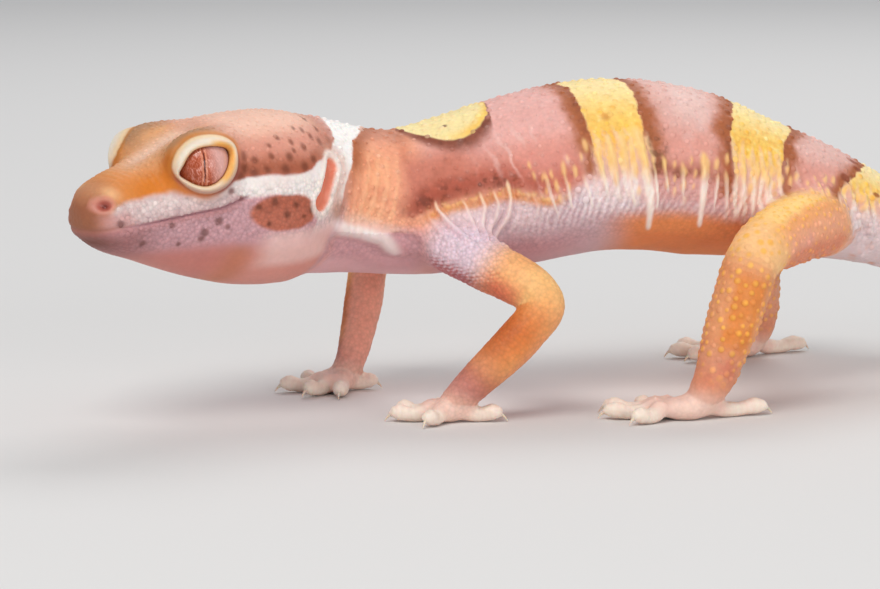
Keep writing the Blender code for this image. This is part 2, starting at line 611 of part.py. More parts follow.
found = loose_pieces(body)
found.sort(key=lambda g: -g[2])
names = {}
for name, at in anchors.items():
    best = min(found, key=lambda g: (g[1]-world(at)).length)
    names.setdefault(id(best), (best, []))[1].append(name)
for best, labels in names.values():
    ob = take(body, best[0], labels[0])
    kind = ("head" if labels[0] == "head" else "jaw" if "jaw" in labels[0] else "neck" if labels[0] == "neck"
            else "trunk" if labels[0] in ("chest", "belly", "hips") else "tail" if "tail" in labels[0]
            else "foot" if labels[0].startswith(("hand", "foot")) else "limb")
    if kind in bpy.data.materials:
        ob.data.materials.append(bpy.data.materials[kind])
    else:
        ob.data.materials.append(material(kind, SKIN[kind]))
    ob.data.shade_smooth()
    ob.data.set_sharp_from_angle(angle=rad(50))
    if len(labels) > 1:
        print("one piece answers to", labels)
bpy.data.objects.remove(body, do_unlink=True)
iris = material("eye", (0.55, 0.22, 0.17), 0.12)
for ob in eyes:
    ob.data.materials.append(iris)
    ob.data.shade_smooth()
lo = [min((ob.matrix_world @ v.co)[i] for ob in PARTS.objects for v in ob.data.vertices)/MM for i in range(3)]
hi = [max((ob.matrix_world @ v.co)[i] for ob in PARTS.objects for v in ob.data.vertices)/MM for i in range(3)]
print("pieces", len(found), "box", [round(x, 3) for x in lo], [round(x, 3) for x in hi],
      "middle", round((lo[0]+hi[0])/2, 3), round((lo[1]+hi[1])/2, 3),
      "triangles", sum(len(p.vertices)-2 for ob in PARTS.objects for p in ob.data.polygons))
for ob in PARTS.objects:
    print(" ", ob.name, len(ob.data.polygons))
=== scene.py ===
import json
import math

import bmesh
import bpy
import numpy as np
from mathutils import Matrix, Vector
from mathutils.kdtree import KDTree

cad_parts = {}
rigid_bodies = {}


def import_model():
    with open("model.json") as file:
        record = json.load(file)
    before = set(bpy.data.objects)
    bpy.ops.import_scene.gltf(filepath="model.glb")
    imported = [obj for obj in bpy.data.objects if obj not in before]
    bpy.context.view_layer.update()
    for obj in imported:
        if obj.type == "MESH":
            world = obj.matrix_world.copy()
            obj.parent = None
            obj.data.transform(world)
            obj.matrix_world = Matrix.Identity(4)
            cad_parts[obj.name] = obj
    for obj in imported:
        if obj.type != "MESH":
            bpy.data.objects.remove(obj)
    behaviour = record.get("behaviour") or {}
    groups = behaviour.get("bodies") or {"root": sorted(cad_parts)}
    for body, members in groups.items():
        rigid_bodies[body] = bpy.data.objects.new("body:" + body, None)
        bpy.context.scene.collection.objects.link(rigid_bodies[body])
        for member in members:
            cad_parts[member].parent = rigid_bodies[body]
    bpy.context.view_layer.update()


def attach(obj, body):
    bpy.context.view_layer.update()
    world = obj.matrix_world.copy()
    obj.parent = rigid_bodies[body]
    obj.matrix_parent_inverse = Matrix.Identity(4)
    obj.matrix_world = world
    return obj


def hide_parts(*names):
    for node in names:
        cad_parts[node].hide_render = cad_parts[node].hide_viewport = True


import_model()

MM = 0.001
ORIGIN = (-2.391, 33.68)
VOXEL = 0.3



# ---------------- named sizes, millimetres ----------------
HEAD_YAW, HEAD_PITCH, HEAD_LENGTH = 26.0, 4.0, 26.5
SNOUT = (12.8, -41.1, 22.7)
# head sections: distance from the snout, half width, height over the axis, depth under it, level of the widest line, upper and lower roundness
HEAD = (
    (0.00, 0.0, 0.0, 0.0, -0.6, 2.1, 2.0),
    (0.15, 1.5, 1.1, 1.4, -0.6, 2.1, 2.0),
    (0.60, 2.6, 1.9, 2.4, -0.6, 2.1, 2.0),
    (1.50, 3.5, 2.7, 3.3, -0.8, 2.1, 2.0),
    (3.00, 4.3, 3.5, 4.2, -1.0, 2.1, 2.1),
    (6.00, 5.3, 4.8, 5.4, -1.2, 2.0, 2.2),
    (9.00, 6.1, 6.0, 6.7, -1.4, 2.1, 2.2),
    (12.0, 6.9, 7.1, 7.9, -1.6, 2.3, 2.2),
    (15.0, 7.9, 7.8, 8.9, -1.8, 2.4, 2.2),
    (18.0, 8.8, 7.95, 9.8, -2.0, 2.4, 2.2),
    (21.5, 9.3, 7.85, 10.4, -2.1, 2.4, 2.2),
    (24.5, 9.0, 7.7, 10.5, -2.0, 2.3, 2.2),
    (27.0, 8.2, 7.4, 10.2, -1.8, 2.1, 2.2),
)
# the body behind the head: place of its middle (left, back, up), then the same six sizes
BODY = (
    ("neck_front", -0.5, -13.0, 23.2, 7.5, 7.4, 9.1, -1.2, 2.0, 2.1),
    ("neck_rear", -1.3, -6.5, 21.8, 7.0, 7.5, 7.9, -0.6, 2.0, 2.1),
    ("shoulder", -1.3, 0.5, 22.2, 8.0, 8.2, 8.4, -0.8, 2.0, 2.1),
    ("chest", -0.9, 9.0, 23.9, 9.3, 8.9, 9.4, -1.2, 2.0, 2.2),
    ("mid_back", -0.3, 18.0, 25.0, 10.0, 9.3, 9.2, -1.3, 2.0, 2.2),
    ("loin", 0.1, 27.0, 24.3, 9.7, 8.9, 9.1, -1.0, 2.0, 2.2),
    ("rump", 0.2, 35.0, 22.4, 8.4, 7.6, 7.9, -0.4, 2.0, 2.2),
    ("pelvis", 0.0, 42.0, 20.6, 7.0, 6.4, 6.5, 0.0, 2.0, 2.1),
    ("vent", -0.3, 48.5, 18.5, 5.4, 5.1, 5.2, 0.0, 2.0, 2.0),
    ("tail_1", -1.2, 56.0, 15.4, 4.3, 4.4, 4.3, 0.0, 2.0, 2.0),
    ("tail_2", -3.0, 64.0, 11.3, 4.9, 4.7, 4.7, 0.0, 2.0, 2.0),
    ("tail_3", -5.8, 71.5, 7.8, 5.2, 4.9, 5.0, 0.0, 2.0, 2.0),
    ("tail_4", -9.0, 79.0, 5.3, 4.8, 4.5, 4.8, 0.0, 2.0, 2.0),
    ("tail_5", -11.8, 87.0, 3.9, 3.9, 3.7, 4.0, 0.0, 2.0, 2.0),
    ("tail_6", -13.6, 95.0, 2.75, 2.8, 2.7, 2.9, 0.0, 2.0, 2.0),
    ("tail_7", -14.2, 103.0, 1.55, 1.6, 1.6, 1.7, 0.0, 2.0, 2.0),
    ("tail_end", -13.9, 108.0, 0.9, 0.8, 0.8, 1.0, 0.0, 2.0, 2.0),
    ("tail_tip", -13.8, 109.2, 0.75, 0.0, 0.0, 0.0, 0.0, 2.0, 2.0),
)
# the eyes, in the head's own frame: ahead of the snout tip (so negative), to the side, and up
EYE_AT = (-12.0, 4.75, 3.9)
EYE_RADIUS = 3.15
EYE_FORWARD, EYE_UP, EYE_TILT = 20.0, 6.0, 8.0    # where an eye looks, degrees ahead of sideways and up
LID_OUT = 1.85                      # the lids' disc lies this far out from the eye's middle
LID_RADII = (4.05, 3.3, 2.1)     # along the lids, across them, and out
BROW_AT = (-13.6, 4.5, 5.9)
BROW_RADII = (4.4, 2.1, 1.6)

LID_OPENING = (2.75, 1.95)         # half length and half height of the opening between the lids

# where the body is parted: along the spine by how far back, with the cutter's radius
SPINE_CUTS = (("head", -14.6, 12.5), ("neck", -7.6, 9.6), ("chest", 12.0, 12.0), ("belly", 25.6, 11.5),
              ("hips", 49.5, 7.5), ("tail_base", 68.0, 8.0), ("tail_middle", 88.0, 6.5))
# where each limb leaves the body: a point, the outward direction and the cutter's radius
ROOT_CUTS = {
    "arm_left": ((6.4, 1.0, 17.7), (0.857, 0.0, -0.515), 5.0),
    "arm_right": ((-8.3, -2.8, 17.7), (-0.854, 0.0, -0.52), 4.6),
    "leg_left": ((11.2, 35.8, 18.7), (0.80, -0.55, -0.20), 5.6),
    "leg_right": ((-8.0, 42.2, 18.2), (-0.95, 0.10, -0.29), 5.4),
}
# the mouth, in the head's frame (ahead, up): the front of the lips, behind their corner, and under the throat
MOUTH = ((4.0, -2.0), (-17.0, 0.7), (-25.0, -14.0))

# limbs: joints with radius at each
LIMBS = {
    "arm_left": (((3.0, -1.5, 19.0), 3.6), ((8.0, 1.0, 16.7), 3.1), ((14.4, 8.4, 12.6), 2.2), ((14.2, 3.8, 7.6), 2.25), ((13.7, -0.8, 3.4), 1.8), ((13.2, -2.2, 1.9), 1.5)),
    "arm_right": (((-4.5, -2.0, 19.0), 3.6), ((-9.0, -2.8, 17.3), 3.0), ((-14.8, -4.0, 14.6), 2.2), ((-11.6, -5.8, 8.2), 2.1), ((-9.2, -7.6, 3.3), 1.7), ((-8.8, -8.6, 1.9), 1.5)),
    "leg_left": (((3.0, 42.5, 18.7), 4.2), ((8.5, 38.2, 18.9), 3.9), ((16.4, 29.8, 17.3), 2.9), ((17.4, 27.2, 10.2), 2.85), ((18.2, 25.0, 4.4), 2.25), ((18.2, 23.6, 2.2), 1.8)),
    "leg_right": (((-3.0, 42.5, 18.7), 4.2), ((-8.5, 42.2, 18.0), 3.9), ((-18.2, 42.4, 15.0), 2.9), ((-18.8, 43.2, 8.5), 2.6), ((-19.6, 43.6, 3.4), 2.0), ((-19.9, 42.6, 2.0), 1.6)),
}
# feet: centre and radii of the palm, then each toe from its root to its tip (left, back)
PALMS = {
    "hand_left": ((12.9, -2.6, 1.10), (1.95, 1.8, 1.26)),
    "hand_right": ((-8.6, -9.2, 1.10), (1.95, 1.8, 1.26)),
    "foot_left": ((17.9, 21.8, 1.16), (2.0, 3.1, 1.32)),
    "foot_right": ((-20.0, 41.5, 1.16), (2.0, 2.7, 1.32)),
}
TOES = {
    "hand_left": (((12.4, -4.0), (11.6, -8.3)), ((13.9, -3.6), (16.2, -5.8)), ((13.6, -1.4), (14.6, 2.6)), ((11.6, -3.8), (8.6, -6.8)), ((11.4, -2.6), (8.2, -2.4))),
    "hand_right": (((-8.8, -11.0), (-9.4, -15.4)), ((-7.6, -10.4), (-5.2, -13.6)), ((-7.2, -9.2), (-3.4, -10.4)), ((-9.8, -10.0), (-13.2, -12.0)), ((-8.8, -8.2), (-8.8, -5.0))),
    "foot_left": (((17.2, 19.0), (16.0, 13.6)), ((18.8, 18.8), (20.4, 15.4)), ((16.4, 19.2), (12.8, 14.6)), ((16.0, 20.6), (12.2, 18.4)), ((18.2, 24.4), (17.6, 30.8))),
    "foot_right": (((-20.0, 39.0), (-21.2, 33.4)), ((-18.8, 39.0), (-17.4, 34.4)), ((-18.4, 40.4), (-15.2, 37.6)), ((-21.4, 39.6), (-25.2, 35.8)), ((-20.6, 43.8), (-22.2, 50.2))),
}

def rad(a): return math.radians(a)
def unit(v):
    v = np.asarray(v, float); return v/np.linalg.norm(v, axis=-1, keepdims=True)

def pchip(xk, yk, x):
    xk = np.asarray(xk, float); yk = np.asarray(yk, float); x = np.asarray(x, float)
    h = np.diff(xk); d = np.diff(yk)/h
    m = np.zeros(len(xk))
    for i in range(1, len(xk)-1):
        if d[i-1]*d[i] > 0:
            w1 = 2*h[i]+h[i-1]; w2 = h[i]+2*h[i-1]
            m[i] = (w1+w2)/(w1/d[i-1]+w2/d[i])
    m[0] = d[0]; m[-1] = d[-1]
    i = np.clip(np.searchsorted(xk, x)-1, 0, len(h)-1)
    t = (x-xk[i])/h[i]
    return ((1+2*t)*(1-t)**2)*yk[i] + t*(1-t)**2*h[i]*m[i] + t*t*(3-2*t)*yk[i+1] + t*t*(t-1)*h[i]*m[i+1]

def spline(points, n, key=None):
    """A natural cubic through points, by chord length; returns (length from start, points)."""
    p = np.asarray(points, float)
    t = np.concatenate([[0], np.cumsum(np.linalg.norm(np.diff(p, axis=0), axis=1))])
    k = len(p); h = np.diff(t)
    a = np.zeros((k, k)); b = np.zeros((k, p.shape[1]))
    a[0, 0] = a[-1, -1] = 1
    for i in range(1, k-1):
        a[i, i-1] = h[i-1]; a[i, i] = 2*(h[i-1]+h[i]); a[i, i+1] = h[i]
        b[i] = 6*((p[i+1]-p[i])/h[i]-(p[i]-p[i-1])/h[i-1])
    m = np.linalg.solve(a, b)
    x = np.linspace(0, t[-1], n)
    i = np.clip(np.searchsorted(t, x)-1, 0, k-2)
    hi = h[i][:, None]; u = (t[i+1]-x)[:, None]; v = (x-t[i])[:, None]
    q = (m[i]*u**3+m[i+1]*v**3)/(6*hi) + (p[i]/hi-m[i]*hi/6)*u + (p[i+1]/hi-m[i+1]*hi/6)*v
    s = np.concatenate([[0], np.cumsum(np.linalg.norm(np.diff(q, axis=0), axis=1))])
    return s, q

def head_frame():
    y, p = rad(HEAD_YAW), rad(HEAD_PITCH)
    f = np.array([math.sin(y)*math.cos(p), -math.cos(y)*math.cos(p), -math.sin(p)])
    l = np.array([math.cos(y), math.sin(y), 0.0])
    return f, l, np.cross(f, l)

def head_point(fwd, left, up):
    f, l, u = head_frame()
    return np.array(SNOUT)+fwd*f+left*l+up*u

def eye_frame(k):
    """The middle of an eye, and the directions along its lids, across them and outwards (k is 1 on the left, -1 on the right)."""
    f, l, u = head_frame()
    a, b = rad(EYE_FORWARD), rad(EYE_UP)
    out = unit(f*math.sin(a)*math.cos(b)+k*l*math.cos(a)*math.cos(b)+u*math.sin(b))
    along = unit(f-out*(f@out))
    t = rad(EYE_TILT)
    across = np.cross(out, along)*k
    across = across if across@u > 0 else -across
    al, ac = along*math.cos(t)-across*math.sin(t), along*math.sin(t)+across*math.cos(t)
    return head_point(EYE_AT[0], k*EYE_AT[1], EYE_AT[2]), al, ac, out

def spine_curve(n=800):
    f, _, _ = head_frame()
    s0 = np.array(SNOUT)
    pts = [s0 - f*k for k in (0, 7, 13, 19, 24)] + [np.array(q[1:4]) for q in BODY]
    return spline(pts, n)

def axial_frames(s, q):
    t = -np.gradient(q, s, axis=0)
    f = unit(t)
    l = unit(np.cross(np.array([0, 0, 1.0]), f))
    u = np.cross(f, l)
    return f, l, u

def section_table():
    s, q = spine_curve(3000)
    rows = [list(r) for r in HEAD]
    for b in BODY:
        k = np.argmin(np.linalg.norm(q-np.array(b[1:4]), axis=1))
        rows.append([s[k], *b[4:]])
    return np.array(rows, float)
TABLE = None

def sections(s):
    global TABLE
    if TABLE is None: TABLE = section_table()
    tb = TABLE
    x = np.sqrt(np.maximum(tb[:, 0], 0))
    q = np.sqrt(np.maximum(s, 0))
    # rounded at the tail tip as well
    out = [pchip(x, tb[:, k], q) for k in range(1, 7)]
    return out

def ring(s, theta):
    """Local (left, up) of the section at s for angles theta, theta 0 at the top, positive to the left."""
    w, ht, hb, zc, nt, nb = sections(np.atleast_1d(s))
    s_, t_ = np.meshgrid(np.arange(len(w)), theta, indexing="ij")
    c, sn = np.cos(t_), np.sin(t_)
    top = c >= 0
    n = np.where(top, nt[s_], nb[s_])
    hv = np.where(top, ht[s_]-zc[s_]*(ht[s_] > 0), hb[s_]+zc[s_]*(hb[s_] > 0))
    hv = np.maximum(hv, 0)
    rr = (np.abs(c)**n+np.abs(sn)**n)**(-1/n)
    left = w[s_]*rr*sn
    up = hv*rr*c + zc[s_]*np.minimum(1, w[s_]/1.5)
    return left, up

def axial(ns=120, nt=40):
    S, Q = spine_curve()
    total = S[-1]
    g = np.linspace(0, 1, ns)
    # denser near the snout and the tip
    a = total*(g - 0.10*np.sin(2*np.pi*g)/(2*np.pi)*0)
    st = np.concatenate([[0.06, 0.2, 0.45, 0.8, 1.3], np.linspace(2.0, total-1.4, ns), total-np.array([0.9, 0.5, 0.2])])
    C = np.stack([np.interp(st, S, Q[:, k]) for k in range(3)], 1)
    f, l, u = axial_frames(S, Q)
    L = unit(np.stack([np.interp(st, S, l[:, k]) for k in range(3)], 1))
    U = unit(np.stack([np.interp(st, S, u[:, k]) for k in range(3)], 1))
    th = np.linspace(0, 2*np.pi, nt, endpoint=False)
    left, up = ring(st, th)
    P = C[:, None]+left[..., None]*L[:, None]+up[..., None]*U[:, None]
    return tube_faces(P, C[0]+ (C[0]-C[1])*0.3, C[-1]+(C[-1]-C[-2])*0.3)

def tube_faces(P, start, end):
    n, m = P.shape[:2]
    V = np.concatenate([P.reshape(-1, 3), [start], [end]])
    F = []
    for i in range(n-1):
        for j in range(m):
            k = (j+1) % m
            F.append((i*m+j, i*m+k, (i+1)*m+k, (i+1)*m+j))
    for j in range(m):
        k = (j+1) % m
        F.append((n*m, k, j))
        F.append((n*m+1, (n-1)*m+j, (n-1)*m+k))
    return V, F

def rounded_path(joints, n=40, bend=0.35):
    """Points and radii along a limb: straight runs with rounded joints."""
    p = np.array([j[0] for j in joints], float); r = np.array([j[1] for j in joints], float)
    s, q = [p[0]], [r[0]]
    pts = []; rr = []
    for i in range(len(p)-1):
        a, b = p[i], p[i+1]
        la = 0 if i == 0 else bend; lb = 0 if i == len(p)-2 else bend
        t = np.linspace(la, 1-lb, 8)
        pts += [a+(b-a)*x for x in t]; rr += [r[i]+(r[i+1]-r[i])*x for x in t]
        if i < len(p)-2:
            c = p[i+2]
            A, B, C = a+(b-a)*(1-bend), b, b+(c-b)*bend
            ra, rb, rc = r[i]+(r[i+1]-r[i])*(1-bend), r[i+1], r[i+1]+(r[i+2]-r[i+1])*bend
            for x in np.linspace(0, 1, 9)[1:-1]:
                pts.append((1-x)**2*A+2*x*(1-x)*B+x*x*C); rr.append((1-x)**2*ra+2*x*(1-x)*rb+x*x*rc)
    pts = np.array(pts); rr = np.array(rr)
    d = np.concatenate([[0], np.cumsum(np.linalg.norm(np.diff(pts, axis=0), axis=1))])
    x = np.linspace(0, d[-1], n)
    return np.stack([np.interp(x, d, pts[:, k]) for k in range(3)], 1), np.interp(x, d, rr)

def tube(path, radii, m=20, cap=0.6):
    """A round tube along path, with domed ends."""
    t = unit(np.gradient(path, axis=0))
    ref = np.array([0.0, 0.0, 1.0]) if abs(t[0][2]) < 0.8 else np.array([1.0, 0, 0])
    u = unit(np.cross(t[0], ref)); U = []
    for k in range(len(t)):
        u = unit(u-t[k]*(u@t[k])); U.append(u)
    U = np.array(U); W = np.cross(t, U)
    P, R, TT, UU, WW = [], [], [], [], []
    rows = []
    for ang in (80, 55, 30):
        a = rad(ang); rows.append((path[0]-t[0]*radii[0]*cap*math.sin(a), radii[0]*math.cos(a), U[0], W[0]))
    for k in range(len(t)): rows.append((path[k], radii[k], U[k], W[k]))
    for ang in (30, 55, 80):
        a = rad(ang); rows.append((path[-1]+t[-1]*radii[-1]*cap*math.sin(a), radii[-1]*math.cos(a), U[-1], W[-1]))
    th = np.linspace(0, 2*np.pi, m, endpoint=False)
    P = np.array([c+r*(np.cos(th)[:, None]*a+np.sin(th)[:, None]*b) for c, r, a, b in rows])
    V, F = tube_faces(P, path[0]-t[0]*radii[0]*cap, path[-1]+t[-1]*radii[-1]*cap)
    return V, [f[::-1] for f in F]

def ellipsoid(c, r, n=12, m=20, axes=None, flat=2.0):
    """An ellipsoid; flat over 2 squares its rim off towards a disc."""
    axes = np.eye(3) if axes is None else np.array(axes)
    ph = np.linspace(0, np.pi, n+2)[1:-1]; th = np.linspace(0, 2*np.pi, m, endpoint=False)
    k = (np.abs(np.sin(ph))**flat+np.abs(np.cos(ph))**flat)**(-1/flat)
    P = np.array([[[r[0]*q*math.sin(p)*math.cos(t), r[1]*q*math.sin(p)*math.sin(t), r[2]*q*math.cos(p)] for t in th] for p, q in zip(ph, k)])
    P = P@axes+np.array(c)
    V, F = tube_faces(P, np.array(c)+r[2]*axes[2], np.array(c)-r[2]*axes[2])
    return V, [f[::-1] for f in F]

def toe_path(a, b, hand=True, n=18):
    """A toe: down from the palm onto the floor, over the raised last joint and down to the claw."""
    a, b = np.array(a, float), np.array(b, float)
    t = np.linspace(0, 1, n)
    z = pchip([0, 0.3, 0.55, 0.8, 0.93, 1.0], [1.45, 0.81, 0.72, 1.00, 0.95, 0.74], t)
    r = pchip([0, 0.3, 0.6, 0.8, 0.93, 1.0], [1.06, 0.88, 0.80, 0.86, 0.76, 0.52], t)
    d = (b-a); L = np.linalg.norm(d); side = np.array([-d[1], d[0]])/L
    xy = a+d*t[:, None]+side*(0.04*L*np.sin(np.pi*t))[:, None]
    return np.column_stack([xy, z]), r

def claw_path(a, b, n=6):
    a, b = np.array(a, float), np.array(b, float)
    d = unit(b-a)
    t = np.linspace(0, 1, n)
    out = 0.9
    p = np.array([[*(b+d*(0.05+out*x)), 0.80-0.60*x**1.6] for x in t])
    return p, 0.36-0.15*t


# ---------------- small tools ----------------
def sstep(a, b, x):
    t = np.clip((x-a)/(b-a), 0, 1)
    return t*t*(3-2*t)


def hump(x, c, w):
    return np.exp(-((x-c)/w)**2)


_lattice = {}


def noise(p, size, seed=1):
    """Smooth noise, -1 to 1, with cells of the given size."""
    n = 32
    if seed not in _lattice:
        _lattice[seed] = np.random.RandomState(seed).uniform(-1, 1, (n, n, n)).astype(np.float32)
    g = _lattice[seed]
    q = p/size+7.3*seed
    i = np.floor(q).astype(np.int64)
    f = q-i
    f = f*f*(3-2*f)
    i0, i1 = i % n, (i+1) % n
    out = 0
    for a in (0, 1):
        for b in (0, 1):
            for c in (0, 1):
                w = (f[:, 0] if a else 1-f[:, 0])*(f[:, 1] if b else 1-f[:, 1])*(f[:, 2] if c else 1-f[:, 2])
                out = out+w*g[(i1 if a else i0)[:, 0], (i1 if b else i0)[:, 1], (i1 if c else i0)[:, 2]]
    return out


def fractal(p, size, seed=1, octaves=3):
    out, amp = 0, 1.0
    for k in range(octaves):
        out = out+amp*noise(p, size/2**k, seed+k)
        amp *= 0.5
    return out/1.75


def to_world(p):
    q = np.array(p, float)
    q[..., 0] -= ORIGIN[0]
    q[..., 1] -= ORIGIN[1]
    return q*MM


def from_shells(name, shells):
    verts, faces, n = [], [], 0
    for v, f in shells:
        verts.append(to_world(v))
        faces += [tuple(n+i for i in q) for q in f]
        n += len(v)
    me = bpy.data.meshes.new(name)
    me.from_pydata([tuple(p) for p in np.concatenate(verts)], [], faces)
    me.update()
    bm = bmesh.new()
    bm.from_mesh(me)
    bmesh.ops.recalc_face_normals(bm, faces=bm.faces)
    bm.to_mesh(me)
    bm.free()
    ob = bpy.data.objects.new(name, me)
    bpy.context.scene.collection.objects.link(ob)
    return ob


def settle(ob):
    dg = bpy.context.evaluated_depsgraph_get()
    me = bpy.data.meshes.new_from_object(ob.evaluated_get(dg), preserve_all_data_layers=True, depsgraph=dg)
    old = ob.data
    ob.modifiers.clear()
    ob.data = me
    bpy.data.meshes.remove(old)


def points(me):
    co = np.empty(len(me.vertices)*3, np.float32)
    me.vertices.foreach_get("co", co)
    co = co.reshape(-1, 3).astype(float)/MM
    co[:, 0] += ORIGIN[0]
    co[:, 1] += ORIGIN[1]
    return co


def set_points(me, co):
    me.vertices.foreach_set("co", to_world(co).astype(np.float32).ravel())
    me.update()


def normals(me):
    n = np.empty(len(me.vertices)*3, np.float32)
    me.vertex_normals.foreach_get("vector", n)
    return n.reshape(-1, 3).astype(float)


def edges_of(me):
    e = np.empty(len(me.edges)*2, np.int32)
    me.edges.foreach_get("vertices", e)
    return e.reshape(-1, 2)


def relax(co, e, weight, times, factor=0.5):
    """Moves points towards the middle of their neighbours."""
    n = len(co)
    deg = np.maximum(np.bincount(e.ravel(), minlength=n), 1)
    for _ in range(times):
        for k in range(3):
            s = np.bincount(e[:, 0], co[e[:, 1], k], n)+np.bincount(e[:, 1], co[e[:, 0], k], n)
            co[:, k] += factor*weight*(s/deg-co[:, k])
    return co


def near(co, centres, radius):
    w = np.zeros(len(co))
    for c in centres:
        w = np.maximum(w, np.clip(1.6*(1-np.linalg.norm(co-np.array(c), axis=1)/radius), 0, 1))
    return w


# ---------------- the body's form ----------------
HF, HL, HU = head_frame()
EYES = {k: eye_frame(k) for k in (1, -1)}
MOUND_AT, MOUND_RADII, MOUND_FLAT = 0.25, (4.25, 3.5, 2.95), 2.4

shells = [axial(220, 96)]
for k, (e, along, across, outward) in EYES.items():
    shells.append(ellipsoid(e+outward*MOUND_AT, MOUND_RADII, 24, 40, [along, across, outward], MOUND_FLAT))
    shells.append(ellipsoid(head_point(BROW_AT[0], k*BROW_AT[1], BROW_AT[2]), BROW_RADII, 20, 32, [HF, HL, HU]))
PATHS, TOE_PATHS = {}, []
for name, joints in LIMBS.items():
    path, radii = rounded_path(joints, 80)
    PATHS[name] = (path, radii)
    shells.append(tube(path, radii, 40))
for name, (centre, radii) in PALMS.items():
    shells.append(ellipsoid(centre, radii, 20, 32))
for name, toes in TOES.items():
    for root, tip in toes:
        path, radii = toe_path(root, tip, n=36)
        TOE_PATHS.append((name, path, radii, root, tip))
        shells.append(tube(path, radii, 24))
skin = from_shells("skin", shells)
m = skin.modifiers.new("run_together", "REMESH")
m.mode = "VOXEL"
m.voxel_size = VOXEL*MM
m.adaptivity = 0
settle(skin)

co = points(skin.data)
e = edges_of(skin.data)
one = np.ones(len(co))
for _ in range(5):
    relax(co, e, one, 1, 0.5)
    relax(co, e, one, 1, -0.52)
relax(co, e, near(co, [joints[1][0] for joints in LIMBS.values()], 7.5), 60)
relax(co, e, near(co, [(*c[:2], 1.8) for c, _ in PALMS.values()], 4.2), 10)
relax(co, e, near(co, [head_point(-13, k*3.0, 6.5) for k in (1, -1)]+[head_point(-17, k*5.0, 5.0) for k in (1, -1)], 6.5), 30)
relax(co, e, one, 3)
set_points(skin.data, co)



def quarter(ob, rounding=2):
    """Every four-sided face of a mesh becomes four, and the new points settle between the old."""
    me = ob.data
    nv, ne, nf = len(me.vertices), len(me.edges), len(me.polygons)
    vi, ei = np.empty(nf*4, np.int32), np.empty(nf*4, np.int32)
    me.loops.foreach_get("vertex_index", vi)
    me.loops.foreach_get("edge_index", ei)
    vi, ei = vi.reshape(-1, 4), ei.reshape(-1, 4)
    p = points(me)
    ee = edges_of(me)
    q = np.concatenate([p, (p[ee[:, 0]]+p[ee[:, 1]])/2, p[vi].mean(1)])
    mid = nv+ne+np.arange(nf)
    quads = np.stack([np.stack([vi[:, j], nv+ei[:, j], mid, nv+ei[:, j-1]], 1) for j in range(4)], 1).reshape(-1, 4)
    new = bpy.data.meshes.new(me.name)
    new.vertices.add(len(q))
    new.loops.add(quads.size)
    new.polygons.add(len(quads))
    new.polygons.foreach_set("loop_start", np.arange(0, quads.size, 4, dtype=np.int32))
    new.loops.foreach_set("vertex_index", quads.ravel().astype(np.int32))
    set_points(new, q)
    new.update(calc_edges=True)
    q = relax(q, edges_of(new), np.ones(len(q)), rounding)
    set_points(new, q)
    ob.data = new
    bpy.data.meshes.remove(me)


quarter(skin)
print("skin points", len(skin.data.vertices))

# an unwrap of the smooth form; the finer form rides on it
skin.data.uv_layers.new(name="OFBake")
bpy.context.view_layer.objects.active = skin
skin.select_set(True)
bpy.ops.object.mode_set(mode="EDIT")
bpy.ops.mesh.select_all(action="SELECT")
bpy.ops.uv.smart_project(angle_limit=rad(72), island_margin=0.002, area_weight=0.0)
bpy.ops.object.mode_set(mode="OBJECT")



# ---------------- body coordinates of every point ----------------
co = points(skin.data)
P0 = co.copy()
S, Q = spine_curve()
SF, SL, SU = axial_frames(S, Q)


def along_spine(p):
    y = p[:, 1]
    s = np.interp(y, Q[:, 1], S)
    for _ in range(10):
        q = np.stack([np.interp(s, S, Q[:, k]) for k in range(3)], 1)
        f = unit(np.stack([np.interp(s, S, SF[:, k]) for k in range(3)], 1))
        s = np.clip(s-0.8*np.sum((p-q)*f, 1), 0.01, S[-1]-0.01)
    q = np.stack([np.interp(s, S, Q[:, k]) for k in range(3)], 1)
    l = unit(np.stack([np.interp(s, S, SL[:, k]) for k in range(3)], 1))
    u = unit(np.stack([np.interp(s, S, SU[:, k]) for k in range(3)], 1))
    return s, np.sum((p-q)*l, 1), np.sum((p-q)*u, 1)


s_ax, left, up = along_spine(co)
w_, ht_, hb_, zc_, nt_, nb_ = sections(s_ax)
theta = np.arctan2(left/np.maximum(w_, 0.3), (up-zc_)/np.where(up > zc_, np.maximum(ht_-zc_, 0.3), np.maximum(hb_+zc_, 0.3)))
n_ = np.where(np.abs(theta) < np.pi/2, nt_, nb_)
ring_r = (np.abs(np.cos(theta))**n_+np.abs(np.sin(theta))**n_)**(-1/n_)
rho = np.hypot(left/np.maximum(w_, 0.3), (up-zc_)/np.where(up > zc_, np.maximum(ht_-zc_, 0.3), np.maximum(hb_+zc_, 0.3)))
off_axis = (rho/ring_r-1)*np.minimum(w_, ht_)          # how far outside the trunk's own section, mm
hx = (co-np.array(SNOUT))@np.array([HF, HL, HU]).T     # ahead, left and up in the head's frame
hf, hl, hu = hx.T

